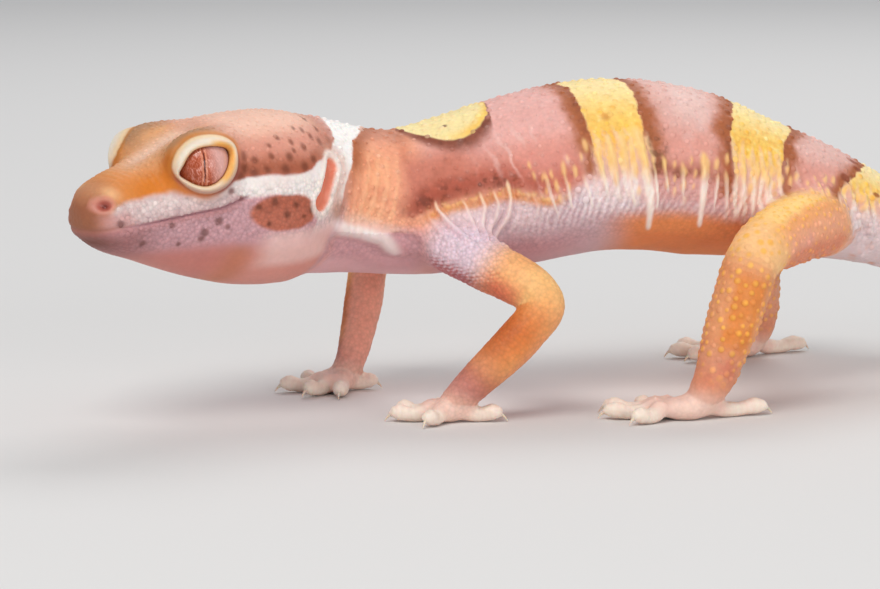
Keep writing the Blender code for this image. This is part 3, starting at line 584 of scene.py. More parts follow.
limb_t = np.zeros(len(co))
limb_r = np.full(len(co), 9.0)
limb_id = np.full(len(co), -1)
limb_len = np.zeros(len(co))
for n_limb, (name, (path, radii)) in enumerate(PATHS.items()):
    lo, hi = path.min(0)-6, path.max(0)+6
    idx = np.nonzero(np.all((co > lo) & (co < hi), axis=1) & (off_axis > -0.5))[0]
    for part in np.array_split(idx, max(1, len(idx)//40000)):
        d = np.linalg.norm(co[part][:, None]-path[None], axis=2)
        rr = d/radii
        kk = rr.argmin(1)
        r = rr[np.arange(len(part)), kk]
        better = r < limb_r[part]
        sel = part[better]
        limb_r[sel] = r[better]
        limb_t[sel] = kk[better]/(len(path)-1)
        limb_id[sel] = n_limb
toe_t = np.zeros(len(co))
toe_r = np.full(len(co), 9.0)
toe_id = np.full(len(co), -1)
low = np.nonzero(co[:, 2] < 5)[0]
for n_toe, (name, path, radii, root, tip) in enumerate(TOE_PATHS):
    lo, hi = path.min(0)-2.5, path.max(0)+2.5
    idx = low[np.all((co[low] > lo) & (co[low] < hi), axis=1)]
    if not len(idx):
        continue
    rr = np.linalg.norm(co[idx][:, None]-path[None], axis=2)/radii
    kk = rr.argmin(1)
    r = rr[np.arange(len(idx)), kk]
    better = r < toe_r[idx]
    sel = idx[better]
    toe_r[sel] = r[better]
    toe_t[sel] = kk[better]/(len(path)-1)
    toe_id[sel] = n_toe
LIMB_NAMES = list(PATHS)
on_limb = sstep(0.2, 2.6, off_axis)*(limb_id >= 0)*sstep(1.9, 1.35, limb_r)
on_head = sstep(29.0, 26.0, s_ax)
on_foot = sstep(1.45, 1.15, toe_r)*(co[:, 2] < 4.5)
palm, foot_soft = np.zeros(len(co)), np.zeros(len(co))
for name, (c, r) in PALMS.items():
    at_palm = np.linalg.norm((co-np.array(c))/np.array(r), axis=1)
    palm = np.maximum(palm, sstep(1.5, 1.05, at_palm))
    foot_soft = np.maximum(foot_soft, sstep(2.6, 1.1, at_palm))
foot_soft = np.maximum(foot_soft*sstep(6.0, 2.2, co[:, 2]), on_foot)

# ---------------- finer form ----------------
def line_distance(x, y, pts):
    """Distance in a plane from a line through some points."""
    best = np.full(len(x), 9.0)
    for (x0, y0), (x1, y1) in zip(pts, pts[1:]):
        dx, dy = x1-x0, y1-y0
        t = np.clip(((x-x0)*dx+(y-y0)*dy)/(dx*dx+dy*dy), 0, 1)
        best = np.minimum(best, np.hypot(x-x0-t*dx, y-y0-t*dy))
    return best


deg = np.degrees(theta)                 # round the body from the middle of the back, left positive
adeg = np.abs(deg)
sd = np.sign(deg)
ARC = 0.16                              # mm round the body for each degree
hl_ = np.abs(hl)
nrm = normals(skin.data)
side_facing = np.abs(nrm@HL)
trunk = (1-on_head)*(1-on_limb)*(1-np.clip(on_foot+palm, 0, 1))
wob = fractal(P0, 2.2, 3)               # a slow wobble, so that no edge is drawn with a ruler
wob2 = fractal(P0, 0.8, 9)


def mouth_level(f):
    return pchip([-15.6, -13.8, -12.5, -9.4, -7.1, -4.9, -3.4, -1.8, -0.7, 0.4],
                 [0.45, -0.1, -0.45, -0.7, -0.9, -1.1, -1.2, -1.25, -1.35, -1.5], np.clip(f, -15.6, 0.4))


u_lip = hu-mouth_level(hf)
in_head = (s_ax < 33)
rise = np.zeros(len(co))                # how far each point moves out, mm

# the skull: hollow before the eye, full temples and jaw muscle, a faint ridge from nostril to brow
def blob(f, l, u, r):
    return np.exp(-((hf-f)**2+(hl_-l)**2+(hu-u)**2)/(r*r))*in_head


rise += -0.38*blob(-6.8, 4.2, 2.4, 2.4)+0.22*blob(-2.6, 2.6, 2.2, 1.3)+0.25*blob(-19.5, 7.6, 3.4, 3.2)
between = np.exp(-(hl_/1.9)**2)*sstep(-3.5, -6.5, hf)*sstep(-16.5, -13.0, hf)*sstep(3.0, 4.5, hu)
rise += -0.75*between+0.20*np.exp(-((hl_-4.1)/0.9)**2)*sstep(-6.5, -9.5, hf)*sstep(-19.0, -15.5, hf)*sstep(4.0, 5.5, hu)
rise += 0.35*blob(-20.5, 8.8, -4.0, 3.6)-0.25*blob(-24.5, 8.0, -4.5, 2.0)+0.24*blob(-0.6, 0.0, 0.9, 1.7)
rise += 0.16*hump(u_lip, 0.55, 0.45)*sstep(-15.5, -13.5, hf)*in_head*side_facing
rise += 0.14*hump(u_lip, -0.55, 0.45)*sstep(-15.0, -12.0, hf)*in_head
rise += -0.55*np.exp(-((hf+8.2)**2+(hl+5.4)**2+(hu-6.4)**2)/5.3)*in_head
rise += 0.028*np.sin(2*np.pi*(hf+0.22*hl_+0.35*wob)/0.62)*in_head*sstep(2.0, 3.2, hu)*sstep(-2.6, -3.8, hf)*sstep(-9.5, -7.5, hf)
# folds: a heavy pale one from the jaw to the shoulder, and three over the arm
y_arc = adeg*ARC
d_neck = line_distance(s_ax, y_arc, [(27.0, 104*ARC), (30.5, 107*ARC), (34.0, 108*ARC), (37.1, 113*ARC), (38.8, 124*ARC)])
neck_fold = np.exp(-(d_neck/0.95)**2)*trunk*sstep(40.2, 37.4, s_ax)*sstep(25.5, 30.0, s_ax)
rise += 0.55*neck_fold-0.28*np.exp(-((d_neck-1.9)/0.80)**2)*trunk*sstep(105*ARC, 108*ARC, y_arc)
FOLDS = (((42.4, 80), (42.6, 88), (43.4, 97), (44.8, 106), (47.2, 116)), ((45.3, 80), (45.8, 91), (45.9, 99), (45.8, 112)),
         ((47.4, 78), (47.7, 90), (47.3, 99), (46.2, 113)), ((48.9, 78), (49.2, 90), (48.7, 100), (47.2, 115)),
         ((50.6, 74), (50.6, 88), (50.0, 100), (48.0, 117)), ((52.8, 84), (53.3, 94), (53.2, 106)), ((41.4, 86), (41.6, 94), (42.6, 104)))
arm_folds = np.zeros(len(co))
for k, line in enumerate(FOLDS):
    d = line_distance(s_ax+0.10*wob2, y_arc, [(a, b*ARC) for a, b in line])
    size = (1, 0.6, 0.85, 0.7, 1, 0.4, 0.35)[k]*sstep(line[0][1]-2, line[0][1]+9, adeg)*sstep(line[-1][1]+6, line[-1][1]-9, adeg)
    arm_folds = np.maximum(arm_folds, size*np.exp(-(d/0.21)**2))
    rise += size*(0.30*np.exp(-(d/0.25)**2)-0.24*np.exp(-((d-0.55)/0.24)**2))*sstep(4.6, 2.6, off_axis)*(1-on_head)
# the hip's folds behind the thigh
for line in (((88.6, 66), (89.6, 80), (91.6, 104)), ((91.0, 70), (92.0, 88), (93.2, 108))):
    d = line_distance(s_ax, y_arc*0.75, [(a, b*ARC*0.75) for a, b in line])
    rise += (0.30*np.exp(-(d/0.35)**2)-0.18*np.exp(-((d-0.85)/0.35)**2))*sstep(2.5, 0.8, off_axis)
spur = np.exp(-(((s_ax-93.6)/0.9)**2+((y_arc*0.6-140*ARC*0.6)/0.8)**2))*trunk
rise += 0.45*spur
# fine upright wrinkles on neck and flank
wrinkle = np.sin(2*np.pi*(s_ax+0.055*(adeg-90)+0.55*wob)/0.80+1.5*wob2)*0.5+0.5
flank_zone = sstep(76, 100, adeg)*sstep(158, 130, adeg)*trunk
rise += 0.10*wrinkle*flank_zone*sstep(-0.6, 0.5, fractal(P0, 2.4, 61))*sstep(46, 54, s_ax)*sstep(92, 82, s_ax)*sstep(128, 112, adeg)
rise += 0.06*(np.sin(2*np.pi*(s_ax+0.7*wob)/1.5)*0.5+0.5)*sstep(29, 32, s_ax)*sstep(42, 38, s_ax)*sstep(40, 70, adeg)*sstep(125, 105, adeg)
# pale strings of skin that hang down the flank from the bands
DRIPS = ((64.6, 56, 128, 0.60), (71.2, 70, 122, 0.50), (69.2, 78, 100, 0.28), (67.2, 74, 96, 0.22), (60.2, 66, 96, 0.26), (61.6, 62, 100, 0.32),
         (63.0, 60, 106, 0.32), (74.0, 80, 106, 0.28), (75.6, 72, 112, 0.32), (77.2, 70, 108, 0.32), (78.6, 74, 112, 0.28), (58.7, 84, 104, 0.22),
         (56.6, 80, 104, 0.20), (54.8, 78, 108, 0.24), (85.0, 74, 96, 0.22), (66.0, 78, 110, 0.20), (73.0, 82, 108, 0.20))
LEAN = 0.026                            # they hang straight down, so they drift along the spine as the flank turns under
drip = np.zeros(len(co))
for k, (s0, a0, a1, w) in enumerate(DRIPS):
    sh = s0+LEAN*(adeg-a0)+0.16*np.sin(adeg/12.0+1.7*k)+0.06*wob+(0 if k % 3 else 0.3)*(sd < 0)
    t = np.clip((adeg-a0)/(a1-a0), 0, 1)
    body = np.exp(-np.abs((s_ax-sh)/(w*(1.05-0.42*t)))**2.4)*sstep(a0-7, a0+5, adeg)*sstep(a1+3, a1-6, adeg)
    drip = np.maximum(drip, body*(0.86+0.14*np.sin(adeg/7.0+2.1*k)))
drip *= trunk
rise += 0.27*drip
# upright drops of paler skin along the flank's upper edge, one to three below each other
rs = np.random.RandomState(11)
bead = np.zeros(len(co))
near_flank = np.nonzero((adeg > 55) & (adeg < 122) & (s_ax > 40) & (s_ax < 93) & (trunk > 0.5))[0]
fs, fa, fsd = s_ax[near_flank]+0.15*wob2[near_flank], y_arc[near_flank], sd[near_flank]
for side_ in (1, -1):
    at = 52.5
    while at < 90:
        at += rs.uniform(0.80, 1.35)
        line0 = 76 if at < 59 else (70 if at < 66 else (78 if at < 74 else 72))
        a0 = line0+rs.uniform(-6, 4)
        for _ in range(rs.randint(1, 4)):
            big = rs.uniform(0.65, 1.15)
            m = fsd == side_
            q = ((fs-at-rs.uniform(-0.15, 0.15)-LEAN*(a0-76))/(0.27*big))**2+((fa-a0*ARC)/(0.66*big))**2
            val = np.where(m, np.exp(-q)*min(1.0, big), 0)
            bead[near_flank] = np.maximum(bead[near_flank], val)
            a0 += rs.uniform(8.5, 12.5)*big
rise += 0.20*bead
# the flank's skin hangs in strings below the bands
strand = 0.5+0.5*np.sin(2*np.pi*(s_ax-LEAN*(adeg-60)+0.34*wob+0.6*fractal(P0, 5.0, 51))/1.02+1.1*wob2)
strand_zone = trunk*sstep(54, 66, adeg)*sstep(118, 104, adeg)*np.maximum(sstep(58.6, 60.0, s_ax)*sstep(67.0, 65.5, s_ax), sstep(73.4, 75.0, s_ax)*sstep(82.0, 80.5, s_ax))
rise += 0.10*(strand-0.5)*strand_zone
# long fine creases down the saddles
crease = np.sin(2*np.pi*(s_ax+0.80*wob-LEAN*adeg)/1.9+0.7*wob2)*sstep(-0.5, 0.6, fractal(P0, 3.0, 57))
rise += 0.060*crease*sstep(20, 45, adeg)*sstep(96, 84, adeg)*trunk*sstep(44, 50, s_ax)*sstep(92, 86, s_ax)
# belly and throat are slack; the tail is ringed
rise += 0.12*fractal(P0, 4.0, 21)*trunk*sstep(100, 140, adeg)
ring = (s_ax-93.0)/3.4
ring_w = sstep(92.5, 97, s_ax)*sstep(S[-1]-1.0, S[-1]-9.0, s_ax)
rise += 0.13*ring_w*(np.abs(np.sin(np.pi*ring))**0.6-0.6)*(w_/4.5)
# limbs: a little muscle, and creases at the bends
lt = limb_t
rise += 0.10*fractal(P0, 2.5, 31)*on_limb
grid_zone = on_limb*((limb_id == 0) | (limb_id == 1))*sstep(0.42, 0.30, lt)
rise += 0.022*grid_zone*(np.cos(2*np.pi*(co[:, 1]+0.3*wob)/0.42)+np.cos(2*np.pi*(co[:, 2]-0.25*co[:, 1]+0.3*wob2)/0.42))
toe_ring = np.sin(2*np.pi*(toe_t*5.0/0.56))
rise += on_foot*(0.010*toe_ring*sstep(0.15, 0.35, toe_t)*sstep(0.99, 0.9, toe_t))
rise += 0.05*on_foot*hump(toe_t, 0.80, 0.10)-0.03*on_foot*hump(toe_t, 0.55, 0.10)

# the mouth's line, the ears and the nostrils
groove = np.exp(-(u_lip/0.13)**2)*sstep(-16.2, -15.2, hf)*(s_ax < 18)*sstep(0.10, 0.35, np.abs(nrm@HL)+np.clip(nrm@HF, 0, 1))
rise -= 0.24*groove*(0.20+0.80*sstep(-1.5, -7.0, hf))
EAR = ((-27.0, 1.9), (-26.3, 1.1), (-25.5, 0.1), (-24.8, -0.9), (-24.1, -1.4))
d_ear = line_distance(hf, hu, EAR)
ear_side = (hl_ > 5.5)*(s_ax < 32)
ear = sstep(1.00, 0.76, d_ear)*ear_side
rise += ear_side*(0.14*np.exp(-((d_ear-1.30)/0.25)**2)-0.80*sstep(1.00, 0.46, d_ear))
NOSTRIL = (-1.30, 2.75, 1.10)
nf, nu = (hf-NOSTRIL[0]), (hu-NOSTRIL[2])
nd = np.sqrt(((nf*0.85-nu*0.5)/0.62)**2+((nf*0.5+nu*0.85)/0.46)**2)
nostril_side = (hf > -3.6)*(hl_ > 1.2)
nostril = np.exp(-nd**2)*nostril_side
rise += nostril_side*(0.07*np.exp(-((nd-1.6)/0.5)**2)-0.50*np.exp(-1.1*nd**2))*np.where(hl > 0, 1, 0.75)

co = P0+nrm*rise[:, None]
set_points(skin.data, co)
nrm = normals(skin.data)

# ---- lids ----
BALL = EYE_RADIUS
# the opening between the lids and the lids' outer edge, by angle round the eye (0 to the snout, 90 up)
OPENING = ((-180, 2.62), (-168, 2.33), (-146, 2.04), (-119, 1.92), (-93, 1.97), (-72, 2.07), (-53, 2.13), (-34, 2.28), (-20, 2.46), (-10, 2.68), (-2, 2.84), (6, 2.56), (20, 2.28),
           (40, 2.13), (61, 2.03), (80, 1.92), (102, 1.87), (125, 2.00), (145, 2.38), (157, 2.78), (165, 2.94), (173, 2.84), (180, 2.62))
OUTER = ((-180, 3.62), (-174, 3.52), (-159, 3.42), (-144, 3.28), (-128, 3.12), (-108, 2.95), (-91, 2.86), (-74, 2.80), (-56, 2.79), (-40, 2.84), (-21, 2.95), (-9, 3.10), (0, 3.30),
         (11, 3.42), (25, 3.34), (38, 3.23), (54, 3.10), (71, 3.02), (91, 2.98), (110, 3.05), (127, 3.26), (141, 3.54), (155, 3.84), (164, 4.02), (171, 3.88), (180, 3.62))


def round_table(table, soft=4.0):
    """A smooth closed outline from its corners."""
    x = np.arange(-180, 181)
    y = np.interp(x, [a for a, _ in table], [r for _, r in table])[:-1]
    g = np.exp(-0.5*(np.arange(-20, 21)/soft)**2)
    y = np.convolve(np.concatenate([y[-20:], y, y[:20]]), g/g.sum(), "valid")
    return x, np.append(y, y[0])


OX, OY = round_table(OPENING, 3.5)
RX, RY = round_table(OUTER, 5.0)
lid_edge = np.full(len(co), 9.0)        # mm from the lids' inner edge, outwards
lid_w = np.full(len(co), 0.8)
lid_ang = np.zeros(len(co))
for k, (e0, al, ac, ou) in EYES.items():
    q = (co-e0)@np.array([al, ac, ou]).T
    idx = np.nonzero((np.abs(q[:, 0]) < 6.5) & (np.abs(q[:, 1]) < 5.5) & (q[:, 2] > 0.2))[0]
    a, b, c = q[idx].T
    r = np.maximum(np.hypot(a, b), 1e-4)
    phi = np.degrees(np.arctan2(b, a))
    rim = np.interp(phi, OX, OY)
    dl = r-rim
    W = np.interp(phi, RX, RY)-rim
    c_edge = np.sqrt(np.maximum(BALL**2-rim**2, 0.8))+0.24+0.16*sstep(-0.2, 0.7, b/r)
    t = np.clip(dl/W, 0, 1)
    out_c = c_edge+(c-c_edge)*sstep(0, 1, t)+0.30*np.sin(np.pi*t)**0.75
    # small square scales along the lids' outer edge, clearest on the lower lid
    out_c += 0.045*np.cos(np.radians(phi)*40)*hump(t, 0.86, 0.16)*(0.35+0.65*sstep(0.1, -0.5, b/r))
    out_c = np.where(dl > W, c-0.20*np.exp(-((dl-W-0.15)/0.17)**2)+0.10*np.exp(-((dl-W-0.75)/0.35)**2), out_c)
    ti = np.clip(-dl/rim, 0, 1)
    r_in = rim*0.95
    c_floor0 = np.sqrt(np.maximum(BALL**2-r_in**2, 0.3))-0.40
    wall = c_edge+(c_floor0-c_edge)*np.clip(ti/0.3, 0, 1)
    r_wall = rim*(1-0.05*np.clip(ti/0.3, 0, 1))
    r_floor = rim*0.95*(1-ti)/0.7
    c_floor = np.sqrt(np.maximum(BALL**2-r_floor**2, 0.3))-0.40
    r_new = np.where(dl >= 0, r, np.where(ti < 0.3, r_wall, r_floor))
    c_new = np.where(dl >= 0, out_c, np.where(ti < 0.3, wall, c_floor))
    fade = sstep(6.3, 5.0, np.abs(a))*sstep(5.3, 4.4, np.abs(b))*sstep(0.2, 0.7, c)
    scale = 1+(r_new/r-1)*fade
    new = np.stack([a*scale, b*scale, c+(c_new-c)*fade], 1)
    co[idx] = new@np.array([al, ac, ou])+e0
    lid_edge[idx] = np.where(fade > 0.5, dl, 9.0)
    lid_w[idx] = W
    lid_ang[idx] = np.arctan2(b, a)
lid = sstep(-0.25, 0.0, lid_edge)*sstep(0.12, -0.05, lid_edge-lid_w)
set_points(skin.data, co)
e = edges_of(skin.data)
calm = lid*0.5+sstep(0.5, 0.1, np.abs(lid_edge-lid_w-0.05))*0.4
relax(co, e, np.clip(calm, 0, 0.6), 3)
set_points(skin.data, co)
nrm = normals(skin.data)

# ---- tubercles and scales, each a small cone or dome ----
rng = np.random.RandomState(5)
strings = np.clip(1.6*drip+1.4*arm_folds*sstep(3.4, 1.6, off_axis)+1.3*bead+neck_fold, 0, 1)
no_scale = np.clip(lid+sstep(0.2, -0.1, lid_edge)*(lid_edge < 8)+sstep(1.0, 0.5, lid_edge-lid_w)*(lid_edge < 8)+ear+nostril*1.5+groove+strings, 0, 1)
back = sstep(112, 78, adeg)*trunk
# how far apart, how tall and how wide they are, by region
gap = np.full(len(co), 0.62)
tall = np.full(len(co), 0.030)
gap = np.where(trunk > 0.5, 0.62+0.42*back, gap)
tall = np.where(trunk > 0.5, 0.035+0.19*back, tall)
head_top = on_head*sstep(2.2, 4.5, hu)*sstep(-3.0, -9.0, hf)
gap = gap*(1-on_head)+on_head*(0.50+0.26*head_top*sstep(-13, -20, hf))
tall = tall*(1-on_head)+on_head*(0.030+0.085*head_top)
lip_scales = on_head*sstep(2.2, 1.6, np.abs(u_lip-0.2))*sstep(-17, -15, hf)*sstep(-1.0, -2.6, hf)
gap = gap*(1-lip_scales)+lip_scales*0.46
tall = tall*(1-lip_scales)+lip_scales*0.065
throat = on_head*sstep(-3.5, -5.5, hu)+(1-on_head)*trunk*sstep(125, 150, adeg)
tall = tall*(1-0.85*np.clip(throat, 0, 1))
leg = on_limb*((limb_id == 2) | (limb_id == 3))
gap = np.where(on_limb > 0.5, 0.55+0.30*(leg > 0.5), gap)
tall = np.where(on_limb > 0.5, 0.030+0.095*(leg > 0.5)*sstep(0.96, 0.84, lt)*(1-0.9*hump(lt, 0.535, 0.05)), tall)
tail_w = sstep(90, 95, s_ax)*trunk
gap = gap*(1-tail_w)+tail_w*(0.75+0.25*sstep(120, 90, adeg))
tall = tall*(1-tail_w)+tail_w*(0.06+0.10*sstep(120, 90, adeg)*sstep(S[-1]-2, S[-1]-20, s_ax))
feet = np.clip(on_foot+palm, 0, 1)
gap = gap*(1-feet)+feet*0.42
tall = tall*(1-feet)+feet*0.022
tall = tall*(1-no_scale)*(1-0.5*strand_zone)*sstep(0.02, 0.5, co[:, 2])

cand = rng.permutation(len(co))
cell, cells, centres = 1.1, {}, []
keep = tall[cand] > 0.012
cand = cand[keep][:150000]
cp, cg = co[cand], gap[cand]
keys = np.floor(cp/cell).astype(int)
for i in range(len(cand)):
    kx, ky, kz = keys[i]
    x, y, z = cp[i]
    g2 = cg[i]*cg[i]
    ok = True
    for dx in (0, -1, 1):
        for dy in (0, -1, 1):
            for dz in (0, -1, 1):
                for (px, py, pz) in cells.get((kx+dx, ky+dy, kz+dz), ()):
                    if (px-x)**2+(py-y)**2+(pz-z)**2 < g2:
                        ok = False
                        break
                if not ok:
                    break
            if not ok:
                break
        if not ok:
            break
    if ok:
        cells.setdefault((kx, ky, kz), []).append((x, y, z))
        centres.append(cand[i])
centres = np.array(centres)
tree = KDTree(len(centres))
for i, v in enumerate(centres):
    tree.insert(co[v], i)
tree.balance()
hit = np.empty(len(co), int)
dist = np.empty(len(co))
for i, p in enumerate(co.tolist()):
    _, j, d = tree.find(p)
    hit[i] = j
    dist[i] = d
vary = rng.uniform(0.65, 1.2, len(centres))
radius = gap[centres]*0.46*np.clip(vary, 0.8, 1.1)
x = dist/radius[hit]
cone = np.clip(1-x, 0, 1)
dome = np.sqrt(np.clip(1-x*x, 0, 1))
sharp = sstep(0.06, 0.14, tall)
tub = (sharp*cone**1.25+(1-sharp)*dome*0.8)*vary[hit]
scale_id = hit
beads = centres[(tall[centres] > 0.052) & (no_scale[centres] < 0.3)]       # these stand as small solids of their own on the skin
own = np.zeros(len(centres))
own[(tall[centres] > 0.052) & (no_scale[centres] < 0.3)] = 1
bead_r = 0.34-0.11*on_head-0.02*on_limb+0.05*leg*sstep(0.5, 0.6, lt)-0.07*trunk*sstep(28, 42, adeg)*sstep(58.5, 56.5, s_ax)
low = 1-0.50*own[hit]
root_co, root_nrm, root_r, root_h = co[beads].copy(), nrm[beads].copy(), (bead_r[centres]*np.clip(vary, 0.75, 1.1))[own > 0.5].copy(), (tall[centres]*vary*(0.72+0.44*on_limb[centres]))[own > 0.5].copy()
co = co+nrm*(tub*tall*low)[:, None]
# nothing goes under the floor
co[:, 2] = np.maximum(co[:, 2], 0.004)
set_points(skin.data, co)

# ---------------- markings ----------------
def srgb(r, g, b):
    c = np.array([r, g, b], float)/255
    return np.where(c <= 0.04045, c/12.92, ((c+0.055)/1.055)**2.4)


paint = np.empty((len(co), 3))
paint[:] = srgb(222, 168, 152)


def lay(colour, mask):
    """One more coat of colour where the mask is 1."""
    global paint
    m = np.clip(mask, 0, 1)[:, None]
    paint = paint*(1-m)+colour*m


def edge(x, at, soft=0.35):
    return sstep(at-soft, at+soft, x)


def spot(x, y, cx, cy, r, soft=0.35):
    d = np.hypot(x-cx, y-cy)/r
    return sstep(1+soft, 1-soft, d)


w1 = 0.35*wob+0.22*wob2                      # mm, the raggedness of an edge
mott = fractal(P0, 1.5, 41)                  # soft blotches, and fine freckling
mote = fractal(P0, 0.5, 43)
sx = s_ax+w1
ang = adeg+w1*4.0
PINK, LAV, WHITE = srgb(232, 188, 178), srgb(214, 186, 192), srgb(249, 243, 236)
ROSE, PEACH, ORANGE = srgb(228, 158, 142), srgb(250, 182, 140), srgb(232, 148, 72)
BROWN, DARK, YELLOW, PALE = srgb(178, 104, 62), srgb(112, 54, 30), srgb(255, 208, 98), srgb(254, 233, 172)

# trunk: pinkish lavender above, granular lavender on the flank, warm belly
lay(PINK, trunk)
lay(ROSE, trunk*sstep(38, 44, s_ax)*sstep(60, 57, s_ax)*sstep(22, 60, adeg)*0.9)
lay(ROSE, trunk*sstep(40, 66, adeg)*sstep(60, 66, s_ax)*0.75)
lay(srgb(236, 198, 192), trunk*sstep(0.0, 0.9, mott)*sstep(100, 80, adeg)*0.45)
lay(LAV, trunk*edge(ang, 88, 8))
# pale lavender-white low on the flank, whiter on the wrinkles' crests as a painted highlight; the darker mauve in their
# troughs is painted shade
lay(srgb(244, 230, 232), trunk*edge(ang, 88, 5)*sstep(124, 100, ang)*(0.22+0.45*sstep(0.35, 0.9, wrinkle)))
lay(srgb(192, 152, 162), trunk*edge(ang, 92, 6)*sstep(126, 110, ang)*sstep(0.45, 0.05, wrinkle)*sstep(46, 54, s_ax)*0.42)
lay(srgb(222, 160, 150), trunk*edge(ang, 82, 8)*sstep(112, 96, ang)*sstep(63.5, 66, s_ax)*sstep(88, 82, s_ax)*0.75)
lay(srgb(208, 160, 166), trunk*edge(ang, 122, 10)*sstep(64, 52, s_ax))
lay(srgb(232, 142, 84), trunk*edge(ang, 112, 9)*sstep(59, 66, s_ax)*sstep(90, 84, s_ax))
lay(srgb(242, 164, 106), trunk*edge(ang, 112, 9)*sstep(104, 116, ang)*sstep(135, 122, ang)*sstep(61, 67, s_ax)*sstep(90, 84, s_ax)*0.5)
lay(srgb(232, 208, 210), trunk*edge(ang, 91, 4)*sstep(113, 104, ang)*sstep(40, 43, s_ax)*sstep(57, 52, s_ax)*0.75)
# neck: peach and orange, brown at the nape
neck = trunk*sstep(28, 31, s_ax)*sstep(44, 40, s_ax)
lay(srgb(240, 170, 138), neck)
lay(PEACH, neck*hump(s_ax, 34.5, 3.0)*sstep(30, 60, adeg)*sstep(110, 95, adeg))
lay(srgb(226, 180, 184), neck*edge(ang, 104, 7))
nape_end = pchip([0, 21, 42, 56, 69, 80, 180], [34.2, 33.0, 30.8, 30.5, 29.6, 28.8, 28.0], adeg)
lay(srgb(214, 132, 100), neck*sstep(-0.2, 0.7, mott)*sstep(95, 70, adeg)*0.6)
streak = np.sin(2*np.pi*(s_ax+0.7*wob+0.02*adeg)/1.5+1.3*wob2)
lay(srgb(252, 194, 152), trunk*sstep(31.5, 33.5, s_ax)*sstep(41, 38, s_ax)*sstep(0.1, 0.8, streak)*sstep(35, 55, adeg)*sstep(104, 92, adeg)*0.5)
lay(BROWN, trunk*sstep(nape_end-0.3, nape_end+0.2, sx)*sstep(nape_end+3.4, nape_end+0.6, sx+0.5*mott)*sstep(100, 78, ang)*(0.92+0.08*mote)*(1-0.6*sstep(52, 74, ang)))
lay(srgb(178, 108, 76), trunk*sstep(34, 36, s_ax)*sstep(42, 40, s_ax)*sstep(40, 20, adeg)*(0.55+0.3*mott))
# saddle over the shoulders, darker along its lower edge
low_edge = pchip([36, 39.1, 41.4, 44, 47.1, 50.1, 51.8, 55.2, 58.4, 60], [92, 94, 89, 84, 83, 81, 84, 91, 86, 85], np.clip(s_ax, 36, 60))
saddle = trunk*sstep(37.5, 40.5, sx)*edge(-sx, -58.6, 0.4)
front_saddle = saddle*sstep(56, 48, s_ax+0.05*adeg)
lay(srgb(208, 130, 108), front_saddle*sstep(36, 58, adeg)*edge(-ang, -low_edge, 3))
lay(srgb(176, 98, 74), front_saddle*sstep(0.0, 0.9, mott)*sstep(30, 50, adeg)*edge(-ang, -low_edge, 3)*0.55)
lay(srgb(236, 182, 174), saddle*sstep(45, 50, s_ax)*sstep(66, 44, adeg)*0.85)
lay(srgb(224, 150, 136), saddle*sstep(50, 54, s_ax)*sstep(52, 70, adeg)*edge(-ang, -low_edge, 3)*0.8)
lay(srgb(154, 74, 48), saddle*np.exp(-((ang-low_edge+7)/6.5)**2)*(0.75+0.3*mott)*edge(-ang, -low_edge, 3)*sstep(60, 50, s_ax))
lay(srgb(186, 86, 60), saddle*np.exp(-((ang-low_edge+11)/8.0)**2)*sstep(38, 41, s_ax)*sstep(56, 51, s_ax)*0.55)
lay(srgb(126, 60, 36), saddle*np.exp(-((adeg-low_edge+7)/7.0)**2)*sstep(-0.05, 0.35, mote+0.5*mott)*sstep(37, 40, s_ax)*sstep(56, 50, s_ax)*0.8)
lay(srgb(204, 110, 84), saddle*np.exp(-((ang-low_edge+7)/8)**2)*sstep(50, 55, s_ax)*0.6)
lay(srgb(228, 156, 98), trunk*np.exp(-((ang-low_edge-4)/4.2)**2)*sstep(40, 42, s_ax)*sstep(58.5, 54, s_ax)*(0.9+0.2*mote))
lay(srgb(252, 214, 140), trunk*np.exp(-((ang-low_edge-2)/2.6)**2)*sstep(0.0, 0.5, mote)*sstep(40, 42, s_ax)*sstep(58.5, 54, s_ax)*0.5)
# the pale oval on the shoulders with its dark rim
oval_w = pchip([39.6, 40.8, 43.3, 46.1, 49.0, 50.9, 51.6], [0, 13, 29, 39, 40, 28, 0], np.clip(s_ax, 39.6, 51.6))
inside = (oval_w-adeg)*ARC*np.clip((s_ax > 39.6)*(s_ax < 51.6), 0, 1)+np.where((s_ax > 39.6) & (s_ax < 51.6), 0, -9)
d_oval = np.maximum(np.hypot((s_ax-46.2)/6.0, adeg/41.0)*6.0-5.9, -inside)+0.5*w1
rim = trunk*sstep(2.5, 0.5, d_oval+0.35*mott)*sstep(-0.5, 0.2, d_oval)
lay(srgb(142, 72, 44), rim*(0.95-0.25*sstep(30, 10, adeg)))
lay(srgb(118, 60, 38), rim*sstep(2.0, 0.6, d_oval)*sstep(-0.1, 0.4, mote+0.4*mott)*0.6)
lay(PALE, trunk*sstep(0.25, -0.15, d_oval))
lay(srgb(254, 208, 100), trunk*sstep(0.2, -0.1, d_oval)*sstep(-1.5, -0.2, d_oval)*sstep(44, 49, s_ax)*0.9)
lay(DARK, trunk*spot(s_ax, deg*ARC, 46.0, 3.6, 0.28)*0.85)


# bands: each dark edge, then the yellow between
bar_any = np.zeros(len(co))


